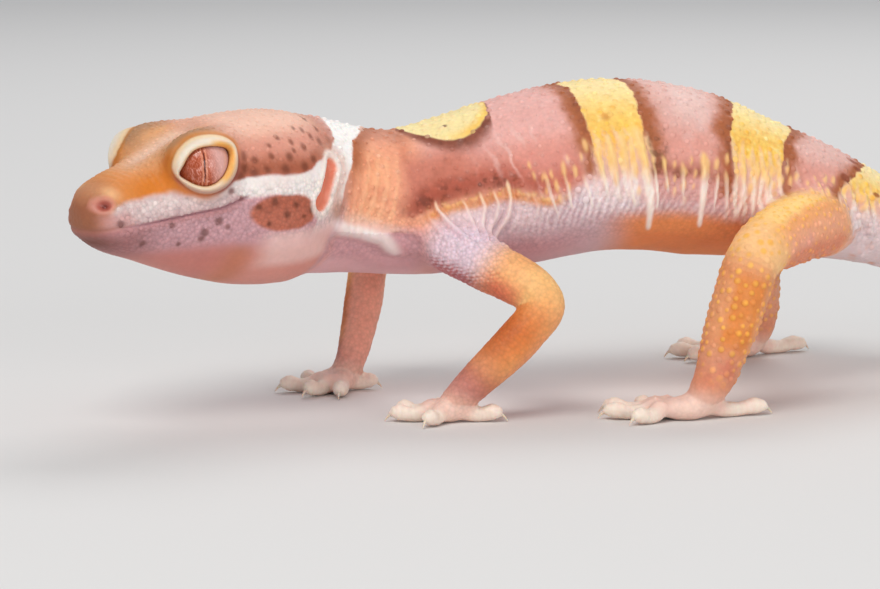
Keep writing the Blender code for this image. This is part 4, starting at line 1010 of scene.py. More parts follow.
def band(top, front, rear, rim_front, rim_rear, low):
    """front, rear: where the yellow starts and ends along the spine, by angle round the body."""
    a = [0, 20, 47, 70, 85, 180]
    f, r = pchip(a, front, adeg), pchip(a, rear, adeg)
    down = edge(-ang, -low, 4)
    side = trunk*edge(-ang, -(low-3), 3)
    for near_edge, away, wide in ((f, f-sx, rim_front), (r, sx-r, rim_rear)):
        bar = side*sstep(-0.10, 0.12, away)
        lay(srgb(204, 136, 114), bar*sstep(wide+1.9, wide*0.4, away+0.7*mott)*0.85)          # the bar fades outwards, blotched
        bar_any[:] = np.maximum(bar_any, bar*sstep(wide+1.2, wide*0.5, away))
        lay(BROWN, bar*sstep(wide+0.9, wide*0.5, away+0.6*mott+0.25*mote))
        lay(srgb(134, 70, 42), bar*sstep(wide*0.9, 0.1, away)*sstep(-0.3, 0.6, mote)*0.55)
        lay(DARK, bar*sstep(wide*0.8, 0.2, away)*sstep(0.25, 0.7, mott)*sstep(38, 62, adeg)*0.75)
    yellow = trunk*sstep(f-0.1, f+0.15, sx)*sstep(r+0.1, r-0.15, sx)
    lay(YELLOW, yellow*down)
    lay(PALE, yellow*down*sstep(62, 16, adeg)*(0.85 if front[0] < 70 else 0.95))
    lay(srgb(246, 190, 92), yellow*down*sstep(30, 55, adeg)*sstep(-0.2, 0.7, mote)*0.7)
    lay(srgb(206, 130, 62), yellow*down*sstep(40, 50, adeg)*sstep(74, 64, adeg)*sstep(0.42, 0.8, mott)*0.6)
    lay(srgb(244, 182, 90), yellow*down*sstep(0.05, 0.6, mote+0.5*mott)*sstep(20, 54, adeg)*0.5)
    lay(srgb(255, 234, 172), yellow*down*sstep(0.10, 0.7, -mote+0.3*mott)*0.6)
    low_part = trunk*sstep(f-0.6, f+0.3, sx)*sstep(r+1.0, r-0.1, sx)*sstep(56, 76, ang+7*mott+5*mote+8*(strand-0.5))*edge(-ang, -(low+14), 7)
    lay(srgb(230, 186, 178), low_part*0.9)
    lay(srgb(248, 232, 220), low_part*sstep(0.30, 0.85, strand+0.15*mote)*0.9)
    lay(srgb(254, 206, 116), low_part*sstep(0.25, 0.75, strand+0.25*mote)*sstep(88, 70, adeg+5*mott)*0.95)
    return yellow*down


y1 = band("first", [59.2, 59.6, 59.9, 60.2, 60.2, 60.2], [64.2, 64.8, 65.0, 65.4, 65.6, 65.6], 1.25, 1.0, 84)
y2 = band("second", [75.6, 75.2, 74.2, 74.6, 75.1, 75.1], [82.6, 82.2, 80.4, 80.2, 80.1, 80.1], 1.35, 1.25, 97)
y3 = band("tail base", [92.0, 91.5, 89.8, 88.2, 87.6, 87.6], [98.6, 98.4, 98.0, 97.5, 97.2, 97.2], 1.1, 1.6, 92)
lay(srgb(253, 230, 176), y3*sstep(70, 30, adeg)*0.85)
lay(srgb(238, 206, 198), trunk*sstep(68.0, 69.5, sx)*sstep(72.6, 71.0, sx)*sstep(60, 35, adeg)*0.6)
lay(srgb(150, 78, 50), trunk*np.maximum(np.maximum(spot(s_ax, y_arc, 89.8, 26*ARC, 0.6), spot(s_ax, y_arc, 90.2, 38*ARC, 0.5)), spot(s_ax, y_arc, 88.3, 57*ARC, 0.6))*0.8)
lay(srgb(170, 96, 40), trunk*spot(s_ax, y_arc, 92.6, 62*ARC, 0.45)*0.9)
lay(srgb(214, 138, 48), trunk*spot(s_ax, y_arc, 61.9, 47*ARC, 0.42, 0.8)*0.65)
# brown along the lower edge of the second saddle, darkest beside the first band
low2 = trunk*sstep(65.4, 66.2, sx)*sstep(75.4, 74.6, sx)
lay(srgb(176, 96, 68), low2*np.exp(-((ang-80)/6.0)**2)*(0.50+0.35*mott))
lay(srgb(138, 70, 34), low2*np.exp(-((ang-82)/3.6)**2)*sstep(-0.2, 0.5, mott+0.5*mote)*0.75)
lay(srgb(118, 64, 26), trunk*sstep(65.5, 66.0, sx)*sstep(67.9, 66.8, sx+0.4*mott)*sstep(50, 58, ang)*sstep(86, 76, ang)*sstep(-0.5, 0.3, mote+mott)*0.75)
# pale skin by the first band, whiter on the wrinkles' crests as a painted highlight
lay(srgb(246, 232, 232), trunk*edge(ang, 85, 4)*sstep(114, 102, ang)*sstep(57.2, 59.4, s_ax)*sstep(66.2, 63.8, s_ax)*(0.35+0.35*wrinkle))
# the strings down the flank: yellow where they start, white below
lay(srgb(250, 206, 140), sstep(0.05, 0.9, bead)*sstep(106, 88, adeg)*0.75)
lay(srgb(246, 218, 206), sstep(0.05, 0.9, bead)*sstep(88, 106, adeg)*0.6)
lay(srgb(252, 212, 142), sstep(0.1, 0.8, drip)*sstep(92, 74, adeg)*0.8)
big_drip = np.maximum(sstep(63.2, 64.2, s_ax)*sstep(67.2, 66.4, s_ax), sstep(70.2, 71.0, s_ax)*sstep(73.4, 72.8, s_ax))
lay(srgb(252, 238, 228), sstep(0.1, 0.8, drip)*sstep(76, 94, adeg)*(0.66+0.33*big_drip))
lay(srgb(246, 214, 206), trunk*sstep(0.35, 0.9, crease)*(1-np.clip(bar_any, 0, 1))*sstep(30, 60, adeg)*sstep(96, 84, adeg)*sstep(46, 52, s_ax)*sstep(90, 84, s_ax)*(1-np.clip(y1+y2+y3, 0, 1))*0.42)
lay(srgb(247, 226, 220), sstep(0.15, 0.8, arm_folds)*sstep(4.6, 2.6, off_axis)*(1-on_head)*0.75)
lay(srgb(250, 214, 160), sstep(0.15, 0.8, arm_folds)*sstep(92, 82, adeg)*trunk*0.75)
lay(srgb(252, 240, 236), sstep(0.1, 0.8, neck_fold)*sstep(27, 30, s_ax))
lay(srgb(248, 214, 196), trunk*np.exp(-((d_neck-1.3)/0.9)**2)*(y_arc < 107*ARC)*sstep(29, 31, s_ax)*0.6)
# painted shade: darker mauve in the groove below the neck fold
lay(srgb(176, 118, 124), trunk*sstep(3.4, 1.2, np.abs(d_neck-2.0))*(y_arc > 108*ARC)*0.3)
# tail behind its root: dark and pale rings in turn, darker towards the tip
on_tail = trunk*edge(sx, 98.2, 0.4)
lay(srgb(226, 184, 170), on_tail)
RINGS = ((98.2, 103.6), (108.6, 114.4), (119.4, 125.2), (129.6, 134.8), (138.8, 143.0), (146.6, 150.2))
in_ring = np.zeros(len(co))
for k, (f0, r0) in enumerate(RINGS):
    in_ring = np.maximum(in_ring, sstep(f0-0.2, f0+0.2, sx)*sstep(r0+0.2, r0-0.2, sx))
low_tail = sstep(150, 112, ang)
lay(srgb(250, 232, 198), on_tail*(1-in_ring)*0.9)
lay(srgb(252, 214, 130), on_tail*(1-in_ring)*sstep(0.1, 0.7, mott)*sstep(122, 108, s_ax)*0.7)
lay(srgb(166, 98, 68), on_tail*in_ring*low_tail*0.95)
lay(srgb(110, 58, 36), on_tail*in_ring*low_tail*sstep(-0.1, 0.7, mott+0.4*mote)*0.8)
lay(srgb(214, 178, 172), on_tail*edge(ang, 132, 12)*0.75)
tail_base_low = trunk*sstep(84, 90, s_ax)*sstep(100, 97, s_ax)
lay(srgb(238, 220, 220), tail_base_low*edge(ang, 88, 8)*0.8)
lay(srgb(226, 150, 112), tail_base_low*edge(ang, 84, 5)*sstep(0.1, 0.6, mott)*0.6)

# ---- limbs ----
left_arm, right_arm, left_leg, right_leg = [(limb_id == k)*on_limb for k in range(4)]
arm, legs = left_arm+right_arm, left_leg+right_leg
under = sstep(0.2, -0.6, nrm[:, 2])
lay(srgb(234, 214, 224), arm*sstep(0.40, 0.26, lt))
lay(srgb(202, 112, 114), arm*sstep(0.44, 0.26, lt)*sstep(-0.10, -0.75, nrm[:, 2])*0.9)
lay(srgb(248, 190, 134), arm*sstep(0.22, 0.38, lt))
lay(srgb(232, 130, 100), arm*sstep(0.26, 0.36, lt)*sstep(0.35, -0.4, nrm[:, 2])*0.85*sstep(0.6, 0.5, lt))
lay(srgb(244, 168, 84), arm*hump(lt, 0.40, 0.06)*sstep(0.1, 0.7, mott)*0.7)
lay(srgb(255, 214, 150), arm*hump(lt, 0.50, 0.07)*0.9)
# the forearm's orange; the darker orange on the face towards the head is painted shade, and the peach on the face
# towards the tail is painted light
lay(srgb(224, 136, 64), arm*hump(lt, 0.67, 0.14)*0.95*sstep(0.95, -0.2, nrm[:, 1]))
lay(srgb(196, 104, 52), arm*sstep(0.58, 0.70, lt)*sstep(0.86, 0.76, lt)*sstep(0.1, -0.75, nrm[:, 1])*0.6)
lay(srgb(236, 158, 124), arm*hump(lt, 0.74, 0.14)*sstep(0.1, 0.8, nrm[:, 1])*0.8)
lay(srgb(196, 122, 104), arm*sstep(0.76, 0.92, lt))
lay(srgb(226, 178, 168), arm*sstep(0.84, 0.99, lt)*0.7)
inner = np.clip(-nrm[:, 0]*np.where((limb_id == 0) | (limb_id == 2), 1, -1), 0, 1)
# pale peach on the arms' inner faces: partly their own paler skin, partly painted light that lifts the far arm out of
# shade
lay(srgb(244, 184, 164), arm*sstep(0.40, 0.52, lt)*sstep(0.10, 0.65, inner)*sstep(0.99, 0.90, lt)*0.92)
lay(srgb(252, 198, 122), legs*sstep(0.60, 0.45, lt))
lay(srgb(254, 214, 134), legs*sstep(0.50, 0.42, lt)*sstep(0.5, 0.9, nrm[:, 2])*0.7)
thigh = legs*sstep(0.52, 0.44, lt)
nz = nrm[:, 2]+0.12*mott
lay(srgb(246, 176, 120), thigh*sstep(0.86, 0.62, nz)*0.9)
thigh_low = thigh*sstep(0.58, 0.20, nz)
lay(srgb(248, 182, 146), thigh_low*0.9)
lay(srgb(236, 170, 158), thigh_low*sstep(-0.1, 0.6, mott)*0.6)
lay(srgb(222, 134, 104), thigh*sstep(0.0, -0.5, nz)*0.7)
lay(srgb(254, 204, 146), legs*hump(lt, 0.54, 0.06))
lay(srgb(232, 148, 72), legs*sstep(0.54, 0.64, lt)*sstep(0.93, 0.80, lt))
lay(srgb(240, 178, 138), legs*sstep(0.56, 0.66, lt)*sstep(0.35, 0.75, np.abs(nrm[:, 1]))*0.7)
lay(srgb(238, 170, 120), legs*sstep(0.60, 0.70, lt)*sstep(0.93, 0.82, lt)*sstep(-0.1, 0.7, mott)*0.55)
lay(srgb(242, 180, 150), legs*sstep(0.46, 0.58, lt)*sstep(0.97, 0.86, lt)*sstep(0.10, 0.65, inner)*0.85)
lay(srgb(226, 156, 124), legs*sstep(0.80, 0.92, lt))
lay(srgb(212, 116, 90), legs*hump(lt, 0.88, 0.06)*sstep(-0.1, 0.6, mott+0.3*mote)*0.55)
foot = np.clip(on_foot+palm, 0, 1)*sstep(5.0, 3.2, co[:, 2])
lay(srgb(236, 194, 176), np.clip(foot_soft, 0, 1))
lay(srgb(244, 214, 200), foot*sstep(0.35, 0.9, foot)*sstep(4.0, 1.8, co[:, 2])*0.8)
lay(srgb(246, 231, 216), on_foot*sstep(0.05, 0.45, toe_t))
lay(srgb(232, 196, 180), on_foot*sstep(0.1, 0.5, toe_t)*sstep(0.3, 0.9, -toe_ring)*0.16)
lay(srgb(226, 190, 174), foot*sstep(0.55, 0.15, co[:, 2])*0.5)

# ---- head ----
h = on_head
hoodline = pchip([-30, -27.5, -24.9, -22.9, -20.9, -18.2, -15.9, -14.5, -13.5], [3.4, 3.2, 2.7, 2.0, 1.95, 2.2, 2.3, 2.1, 2.0], np.clip(hf, -30, -13.5))
hw, uw = hf+0.6*w1, hu+0.6*w1
lay(srgb(208, 165, 170), h)                                                     # lower jaw and lips
lay(srgb(222, 158, 146), h*edge(-hu, 5.0, 1.2))                                 # throat
lay(srgb(206, 134, 124), h*edge(-hu, 4.2, 0.9)*sstep(-15.5, -12.0, hf)*0.75)
lay(srgb(198, 124, 84), h*hump(hf, -14.6, 1.6)*edge(-hu, 4.6, 0.8)*0.6)
lay(srgb(240, 206, 200), h*sstep(-3.0, -4.2, hu)*sstep(-8.0, -6.5, hu)*sstep(-15.5, -18.5, hf)*0.8)
top = sstep(-0.4, 0.5, uw-pchip([-15, -12, -9.2, -7.7, -4.3, -2.5, -1.6, 0], [1.6, 1.4, 1.3, 1.7, 1.4, 0.9, 0.3, -0.3], np.clip(hf, -15, 0)))
front = h*sstep(-15.5-3.5*sstep(3.2, 5.4, hu), -13.0, hf)
lay(srgb(222, 150, 84), front*top)
lay(srgb(222, 138, 42), front*top*blob(-6.6, 4.8, 2.6, 2.8)*1.1)
lay(srgb(240, 186, 150), front*top*sstep(3.0, 1.0, hl_)*sstep(-4.0, -6.5, hf)*0.8)
lay(srgb(172, 94, 4), front*top*blob(-8.3, 5.6, 4.9, 1.5)*1.1)
lay(srgb(186, 118, 16), front*blob(-8.8, 3.6, 7.2, 1.5)*0.75)
lay(srgb(204, 164, 76), front*blob(-10.5, 3.4, 7.4, 1.8)*0.45)
lay(srgb(226, 170, 124), front*top*sstep(2.6, 5.2, hu)*sstep(4.6, 2.8, hl_)*0.75)
brow_c = np.exp(-((hl_-4.1-0.10*(hf+13))/1.9)**2)*sstep(-19.5, -15.5, hf+0.8*mott)*sstep(-8.0, -9.5, hf)*sstep(4.5, 6.0, hu)
lay(srgb(180, 140, 108), brow_c*h*(0.88+0.12*mote))                               # grey tan along the brows
lay(srgb(240, 178, 122), h*np.exp(-((hl_-2.4)/0.8)**2)*sstep(-19.5, -15.0, hf)*sstep(-9.5, -12.0, hf)*sstep(4.5, 6.0, hu)*0.7)
lay(srgb(244, 208, 186), h*np.exp(-(hl_/1.5)**2)*sstep(-18.5, -13.0, hf)*sstep(-5.0, -8.0, hf)*sstep(2.5, 4.0, hu)*0.85)
lay(srgb(236, 168, 116), h*sstep(4.6, 5.8, hu)*sstep(-24.5, -20.0, hf+1.2*wob)*sstep(-13.5, -16.5, hf)*sstep(0.15, 0.75, fractal(np.stack([0.35*hf, hl_, 0.3*hu], 1), 0.9, 77))*0.5)
lay(srgb(198, 140, 102), front*sstep(-3.8, -1.2, hf)*sstep(-0.6, 0.4, u_lip))   # snout tip
lay(srgb(164, 104, 74), front*sstep(-1.9, -0.3, hf)*sstep(2.6, 0.6, hu)*0.85)
lay(srgb(154, 96, 92), front*sstep(-7.5, -2.5, hf)*sstep(-0.2, -1.0, u_lip)*0.7)
lay(srgb(122, 62, 36), front*sstep(-3.2, -0.4, hf)*sstep(-0.3, -1.6, u_lip)*0.95)
lay(srgb(206, 152, 152), front*hump(hf, -2.4, 1.3)*sstep(0.2, -0.3, u_lip)*sstep(-2.0, -0.8, u_lip)*0.5)
lay(srgb(242, 194, 146), front*hump(hf, -2.3, 0.7)*hump(hu, 2.1, 0.6)*0.8)      # over the nostril
on_top = sstep(3.2, 5.4, hu)
hood = h*sstep(-0.3, 0.3, uw-hoodline)*sstep(-13.2+0.8*on_top, -14.6-3.6*on_top, hw+0.8*mott*on_top)
behind_hood = pchip([0, 12, 21, 39, 50, 62, 90], [29.6, 29.0, 28.7, 28.2, 27.4, 26.0, 24.0], adeg)
lay(srgb(198, 122, 94), hood)
lay(srgb(226, 164, 144), hood*sstep(2.6, 5.0, uw-0.12*(hf+20)+0.5*mott))
lay(srgb(242, 200, 178), hood*sstep(5.0, 7.2, hu)*0.9)
lay(srgb(164, 92, 60), hood*hump(hu, hoodline+0.7, 0.9)*0.5)
lay(srgb(176, 108, 78), hood*sstep(25.5, 28.0, s_ax)*0.55)
white = sstep(behind_hood-0.15, behind_hood+0.15, sx)*sstep(nape_end+0.15, nape_end-0.2, sx)*sstep(112, 84, ang)
lay(srgb(250, 248, 244), white*(s_ax < 37)*(1-on_limb))
stripe_low = pchip([-28, -24.2, -22.2, -20.9, -19.2, -17.7, -16.0, -14.0, -12.5, -11.0], [-2.6, -2.0, -0.9, -0.2, 0.1, 0.2, 0.25, 0.7, 0.9, 0.9], np.clip(hf, -28, -11))
stripe = h*sstep(-0.25, 0.35, uw-stripe_low)*sstep(0.2, -0.2, uw-hoodline)*sstep(-11.8, -13.6, hf)*sstep(-29, -27.6, hf)
lay(srgb(242, 232, 228), stripe)
lay(srgb(248, 244, 240), stripe*sstep(-19.5, -21.5, hf)*0.6+stripe*hump(hf, -16.0, 1.5)*0.5)
lip = front*sstep(0.05, 0.30, u_lip)*(1-top)*sstep(-1.0, -2.4, hf+0.4*mott)
lay(srgb(218, 194, 192), lip)
lay(srgb(204, 168, 172), lip*sstep(0.0, 0.6, mote)*sstep(1.6, 0.4, u_lip)*0.7)
lay(srgb(238, 226, 222), lip*sstep(0.6, 1.6, u_lip)*sstep(-0.6, 0.3, mote)*0.7)
lay(srgb(206, 156, 152), front*sstep(-4.4, -2.8, hf)*sstep(-0.1, -1.3, hf)*sstep(-0.1, 0.2, u_lip)*sstep(2.1, 1.0, u_lip+0.2*mott)*0.75)
lay(srgb(176, 116, 112), h*hump(u_lip, -0.35, 0.28)*sstep(-15.5, -13.5, hf)*0.45)
cheek_d = np.hypot((hw+19.3+0.25*(hu+1.6))/3.75, (uw+1.62-0.10*(hf+19.3))/1.85)
lay(srgb(192, 116, 92), h*sstep(1.10, 0.90, cheek_d)*(hl_ > 5))
lay(srgb(168, 90, 62), h*sstep(1.0, 0.6, cheek_d)*(hl_ > 5)*sstep(-2.2, -0.6, hu)*0.4)
dots = np.zeros(len(co))
for f, u, r in ((-18.2, -0.4, 0.36), (-20.5, -1.0, 0.32), (-19.4, -1.9, 0.36), (-16.5, -0.8, 0.34), (-22.3, -1.8, 0.3), (-17.4, -2.6, 0.26), (-21.3, -2.3, 0.24),
                (-15.8, 4.5, 0.5), (-15.5, 3.3, 0.55), (-20.0, 2.6, 0.5), (-22.5, 2.6, 0.48), (-20.9, 3.7, 0.42), (-18.0, 2.8, 0.38), (-24.1, 3.1, 0.4), (-23.3, 4.4, 0.36), (-25.3, 5.2, 0.34),
                (-16.6, 2.7, 0.45), (-14.9, 2.6, 0.5), (-24.6, 5.9, 0.26), (-20.6, 5.6, 0.24), (-23.6, 6.2, 0.22), (-27.0, 6.6, 0.25), (-19.2, 5.0, 0.22), (-21.8, 4.2, 0.26), (-26.3, 4.5, 0.38), (-28.3, 4.3, 0.38), (-29.9, 5.7, 0.4), (-29.4, 5.0, 0.34), (-27.4, 5.6, 0.3), (-17.0, 3.9, 0.34), (-18.9, 4.0, 0.3), (-22.0, 5.0, 0.28)):
    dots = np.maximum(dots, spot(hf+0.12*wob2, hu+0.12*wob, f, u, r, 0.7)*(hl_ > 2))
lay(srgb(120, 60, 32), dots*in_head*np.maximum(hood*0.92, h*(cheek_d < 1.1)*1.1)*0.72)
jaw_dots = np.zeros(len(co))
for f, u, r in ((-4.6, -3.1, 0.30), (-10.8, -2.7, 0.42), (-12.3, -1.7, 0.42), (-2.3, -0.75, 0.34), (-10.5, -3.3, 0.32), (-13.8, 1.2, 0.34), (-14.8, 0.35, 0.26), (-7.4, -1.5, 0.3), (-8.2, -3.6, 0.24), (-13.2, -2.4, 0.25)):
    jaw_dots = np.maximum(jaw_dots, spot(hf, hu, f, u, r, 0.6))
lay(srgb(128, 80, 74), jaw_dots*h*0.75)
lay(srgb(176, 108, 74), in_head*spot(s_ax, y_arc, 28.2, 92*ARC, 1.2, 0.6)*0.7)
lay(srgb(222, 170, 150), in_head*ear_side*sstep(3.4, 1.4, d_ear)*sstep(-24.6, -26.4, hf)*0.6)
margin = ear_side*sstep(2.0, 1.35, d_ear)
lay(srgb(246, 236, 228), margin*0.85)
lay(srgb(240, 158, 130), ear)
lay(srgb(228, 136, 112), ear*sstep(0.5, 0.1, d_ear)*0.5)
lay(srgb(222, 156, 142), nostril_side*sstep(2.0, 1.1, nd)*0.75)
lay(srgb(184, 102, 86), nostril_side*sstep(1.25, 0.7, nd))
# painted shade: the nostril's opening dark in its deepest part
lay(srgb(118, 48, 40), nostril_side*sstep(0.75, 0.15, nd)*0.8)
lay(srgb(150, 92, 98), groove*(0.12+0.55*sstep(-2.0, -7.0, hf)))
by_lid = (lid_edge < 8)
d_out = lid_edge-lid_w
# painted shadow: a dark reddish line in the crease under the lower lid
lay(srgb(160, 88, 72), by_lid*(d_out > -0.05)*np.exp(-((d_out-0.18)/0.22)**2)*sstep(0.25, -0.25, np.sin(lid_ang))*0.9)
lay(srgb(214, 132, 66), by_lid*(d_out > -0.05)*np.exp(-((d_out-0.30)/0.45)**2)*sstep(-0.15, -0.6, np.sin(lid_ang))*sstep(-0.6, 0.3, np.cos(lid_ang))*0.6)
lay(srgb(208, 138, 58), by_lid*(d_out > -0.05)*np.exp(-((d_out-0.18)/0.30)**2)*sstep(-0.2, 0.35, np.sin(lid_ang))*0.7)
lay(srgb(236, 216, 190), lid)
lay(srgb(240, 234, 222), lid*hump(lid_edge/lid_w, 0.55, 0.25)*sstep(-0.2, 0.5, np.sin(lid_ang))*0.7)
lay(srgb(196, 156, 144), lid*sstep(-0.2, -0.8, np.sin(lid_ang))*sstep(0.45, 1.0, lid_edge/lid_w)*0.8)
lay(srgb(240, 184, 100), lid*sstep(-0.25, -0.75, np.cos(lid_ang))*sstep(0.85, 0.25, lid_edge/lid_w))
lay(srgb(226, 176, 110), lid*sstep(0.30, 0.0, lid_edge/lid_w)*0.7)
lay(srgb(250, 216, 156), lid*sstep(0.7, 1.0, lid_edge/lid_w)*sstep(0.1, 0.6, np.sin(lid_ang))*0.5)
corner = by_lid*np.exp(-((np.degrees(lid_ang)+3)/9)**2)*sstep(0.45, 0.0, np.abs(lid_edge))
lay(srgb(206, 140, 126), corner*0.9)
# painted shade: the lids' inner wall orange-brown, near black deeper into the opening
lay(srgb(146, 84, 46), by_lid*sstep(0.10, -0.05, lid_edge)*(1-corner))
lay(srgb(70, 32, 18), by_lid*sstep(-0.15, -0.6, lid_edge))

ground = paint.copy()
# tubercles are paler at the tip on dark ground, deeper yellow on the bands and the legs
per_c = rng.uniform(0, 1, len(centres))
per = per_c[hit]
tip = tub*sstep(0.05, 0.12, tall)
bands = np.clip(y1+y2+y3, 0, 1)
lay(srgb(252, 186, 56), bands*tip*sstep(0.30, 0.65, per)*sstep(20, 50, adeg)*0.72)
lay(srgb(253, 192, 78), legs*sstep(0.0, 0.75, tub)*sstep(0.15, 0.45, per-0.32*thigh_low)*sstep(0.97, 0.84, lt)*(0.70-0.2*thigh_low))
lay(srgb(240, 204, 192), trunk*tip*sstep(0.55, 0.9, per)*sstep(100, 70, adeg)*0.18*(1-bands)*(1-np.clip(bar_any, 0, 1)))
# depth: what is pale stays, what is strong in colour gets a little stronger
power = (1.07+0.04*on_limb+0.06*arm+0.07*on_head-0.06*np.clip(on_foot+palm, 0, 1))[:, None]
paint, ground = np.clip(paint, 0, 1)**power, np.clip(ground, 0, 1)**power

me = skin.data
for name, data in (("paint", np.column_stack([paint, np.ones(len(paint))])),):
    at = me.attributes.new(name, "FLOAT_COLOR", "POINT")
    at.data.foreach_set("color", data.astype(np.float32).ravel())
lips_jaw = on_head*sstep(1.8, 0.8, hu)*sstep(-5.0, -3.4, hu)*sstep(-1.0, -3.5, hf)
fine = 0.26+0.4*grid_zone+0.38*flank_zone*(1-0.75*sstep(110, 124, ang)*sstep(59, 66, s_ax))+0.32*arm
fine = fine*(1-on_head)+on_head*(0.16+0.75*lips_jaw)
fine = np.clip(fine-0.75*np.clip(throat, 0, 1)-no_scale-0.15*np.clip(on_foot, 0, 1)-0.5*neck_fold, 0.02, 1)
wet = np.clip(ear+(lid_edge < 0.05)*(lid_edge < 8)+nostril, 0, 1)
for name, data in (("grain", fine), ("wet", wet), ("tub", tub*sstep(0.02, 0.08, tall))):
    at = me.attributes.new(name, "FLOAT", "POINT")
    at.data.foreach_set("value", data.astype(np.float32))


# ---------------- materials ----------------
class Nodes:
    def __init__(self, name):
        self.m = bpy.data.materials.new(name)
        self.m.use_nodes = True
        self.t = self.m.node_tree
        self.b = self.t.nodes["Principled BSDF"]

    def add(self, kind, **settings):
        n = self.t.nodes.new(kind)
        for k, v in settings.items():
            if k in n.inputs.keys() if isinstance(k, str) else False:
                n.inputs[k].default_value = v
            else:
                setattr(n, k, v)
        return n

    def link(self, a, b):
        self.t.links.new(a, b)

    def attr(self, name):
        n = self.t.nodes.new("ShaderNodeAttribute")
        n.attribute_name = name
        return n

    def math(self, op, a, b=None, clamp=False):
        n = self.t.nodes.new("ShaderNodeMath")
        n.operation = op
        n.use_clamp = clamp
        for k, v in ((0, a), (1, b)):
            if v is None:
                continue
            if isinstance(v, (int, float)):
                n.inputs[k].default_value = v
            else:
                self.link(v, n.inputs[k])
        return n.outputs[0]

    def mix(self, kind, fac, a, b):
        n = self.t.nodes.new("ShaderNodeMix")
        n.data_type = "RGBA"
        n.blend_type = kind
        for sock, v in ((n.inputs[0], fac), (n.inputs[6], a), (n.inputs[7], b)):
            if isinstance(v, (int, float)):
                sock.default_value = v
            elif isinstance(v, tuple):
                sock.default_value = v
            else:
                self.link(v, sock)
        return n.outputs[2]


def skin_material(name="gecko_skin", depth=0.28):
    n = Nodes(name)
    paint_, grain_, wet_, tub_ = n.attr("paint"), n.attr("grain"), n.attr("wet"), n.attr("tub")
    at = n.add("ShaderNodeTexCoord").outputs["Object"]
    cells = n.add("ShaderNodeTexVoronoi")
    cells.feature = "F1"
    cells.inputs["Scale"].default_value = 1/0.00040
    n.link(at, cells.inputs["Vector"])
    gran = n.math("SUBTRACT", 1.0, cells.outputs["Distance"], clamp=True)      # 1 on each granule's top
    slow = n.add("ShaderNodeTexNoise")
    slow.inputs["Scale"].default_value = 1/0.0022
    slow.inputs["Detail"].default_value = 4
    n.link(at, slow.inputs["Vector"])
    fast = n.add("ShaderNodeTexNoise")
    fast.inputs["Scale"].default_value = 1/0.0005
    fast.inputs["Detail"].default_value = 3
    n.link(at, fast.inputs["Vector"])
    # colour: warm and cool drift, each granule its own shade, darker between
    col = paint_.outputs["Color"]
    drift = n.math("MULTIPLY", n.math("SUBTRACT", slow.outputs["Fac"], 0.5), 0.9)
    col = n.mix("MULTIPLY", 1.0, col, n.mix("MIX", n.math("ADD", 0.5, drift, clamp=True), (0.90, 0.84, 0.83, 1), (1.08, 1.09, 1.08, 1)))
    per = n.add("ShaderNodeSeparateColor")
    n.link(cells.outputs["Color"], per.inputs[0])
    shade = n.math("MULTIPLY", n.math("SUBTRACT", per.outputs[0], 0.5), n.math("MULTIPLY", grain_.outputs["Fac"], 0.16))
    gap_ = n.math("MULTIPLY", n.math("SUBTRACT", gran, 0.62), n.math("MULTIPLY", grain_.outputs["Fac"], 0.42))
    lum = n.math("ADD", 1.0, n.math("ADD", shade, gap_))
    lum = n.math("ADD", lum, n.math("MULTIPLY", n.math("SUBTRACT", fast.outputs["Fac"], 0.5), 0.16))
    grey = n.add("ShaderNodeCombineColor")
    for k in range(3):
        n.link(lum, grey.inputs[k])
    col = n.mix("MULTIPLY", 1.0, col, grey.outputs[0])
    n.link(col, n.b.inputs["Base Color"])
    # relief finer than the mesh
    height = n.math("ADD", n.math("MULTIPLY", gran, n.math("MULTIPLY", grain_.outputs["Fac"], 1.0)), n.math("MULTIPLY", fast.outputs["Fac"], 0.25))
    bump = n.add("ShaderNodeBump")
    bump.inputs["Strength"].default_value = 0.75
    bump.inputs["Distance"].default_value = 0.00011
    n.link(height, bump.inputs["Height"])
    n.link(bump.outputs[0], n.b.inputs["Normal"])
    rough = n.math("SUBTRACT", n.math("ADD", 0.50, n.math("MULTIPLY", slow.outputs["Fac"], 0.14)), n.math("MULTIPLY", wet_.outputs["Fac"], 0.35))
    n.link(rough, n.b.inputs["Roughness"])
    n.b.inputs["Specular IOR Level"].default_value = 0.42
    n.b.inputs["Subsurface Weight"].default_value = depth
    n.b.inputs["Subsurface Radius"].default_value = (1.0, 0.42, 0.28)
    n.b.inputs["Subsurface Scale"].default_value = 0.0011
    return n.m


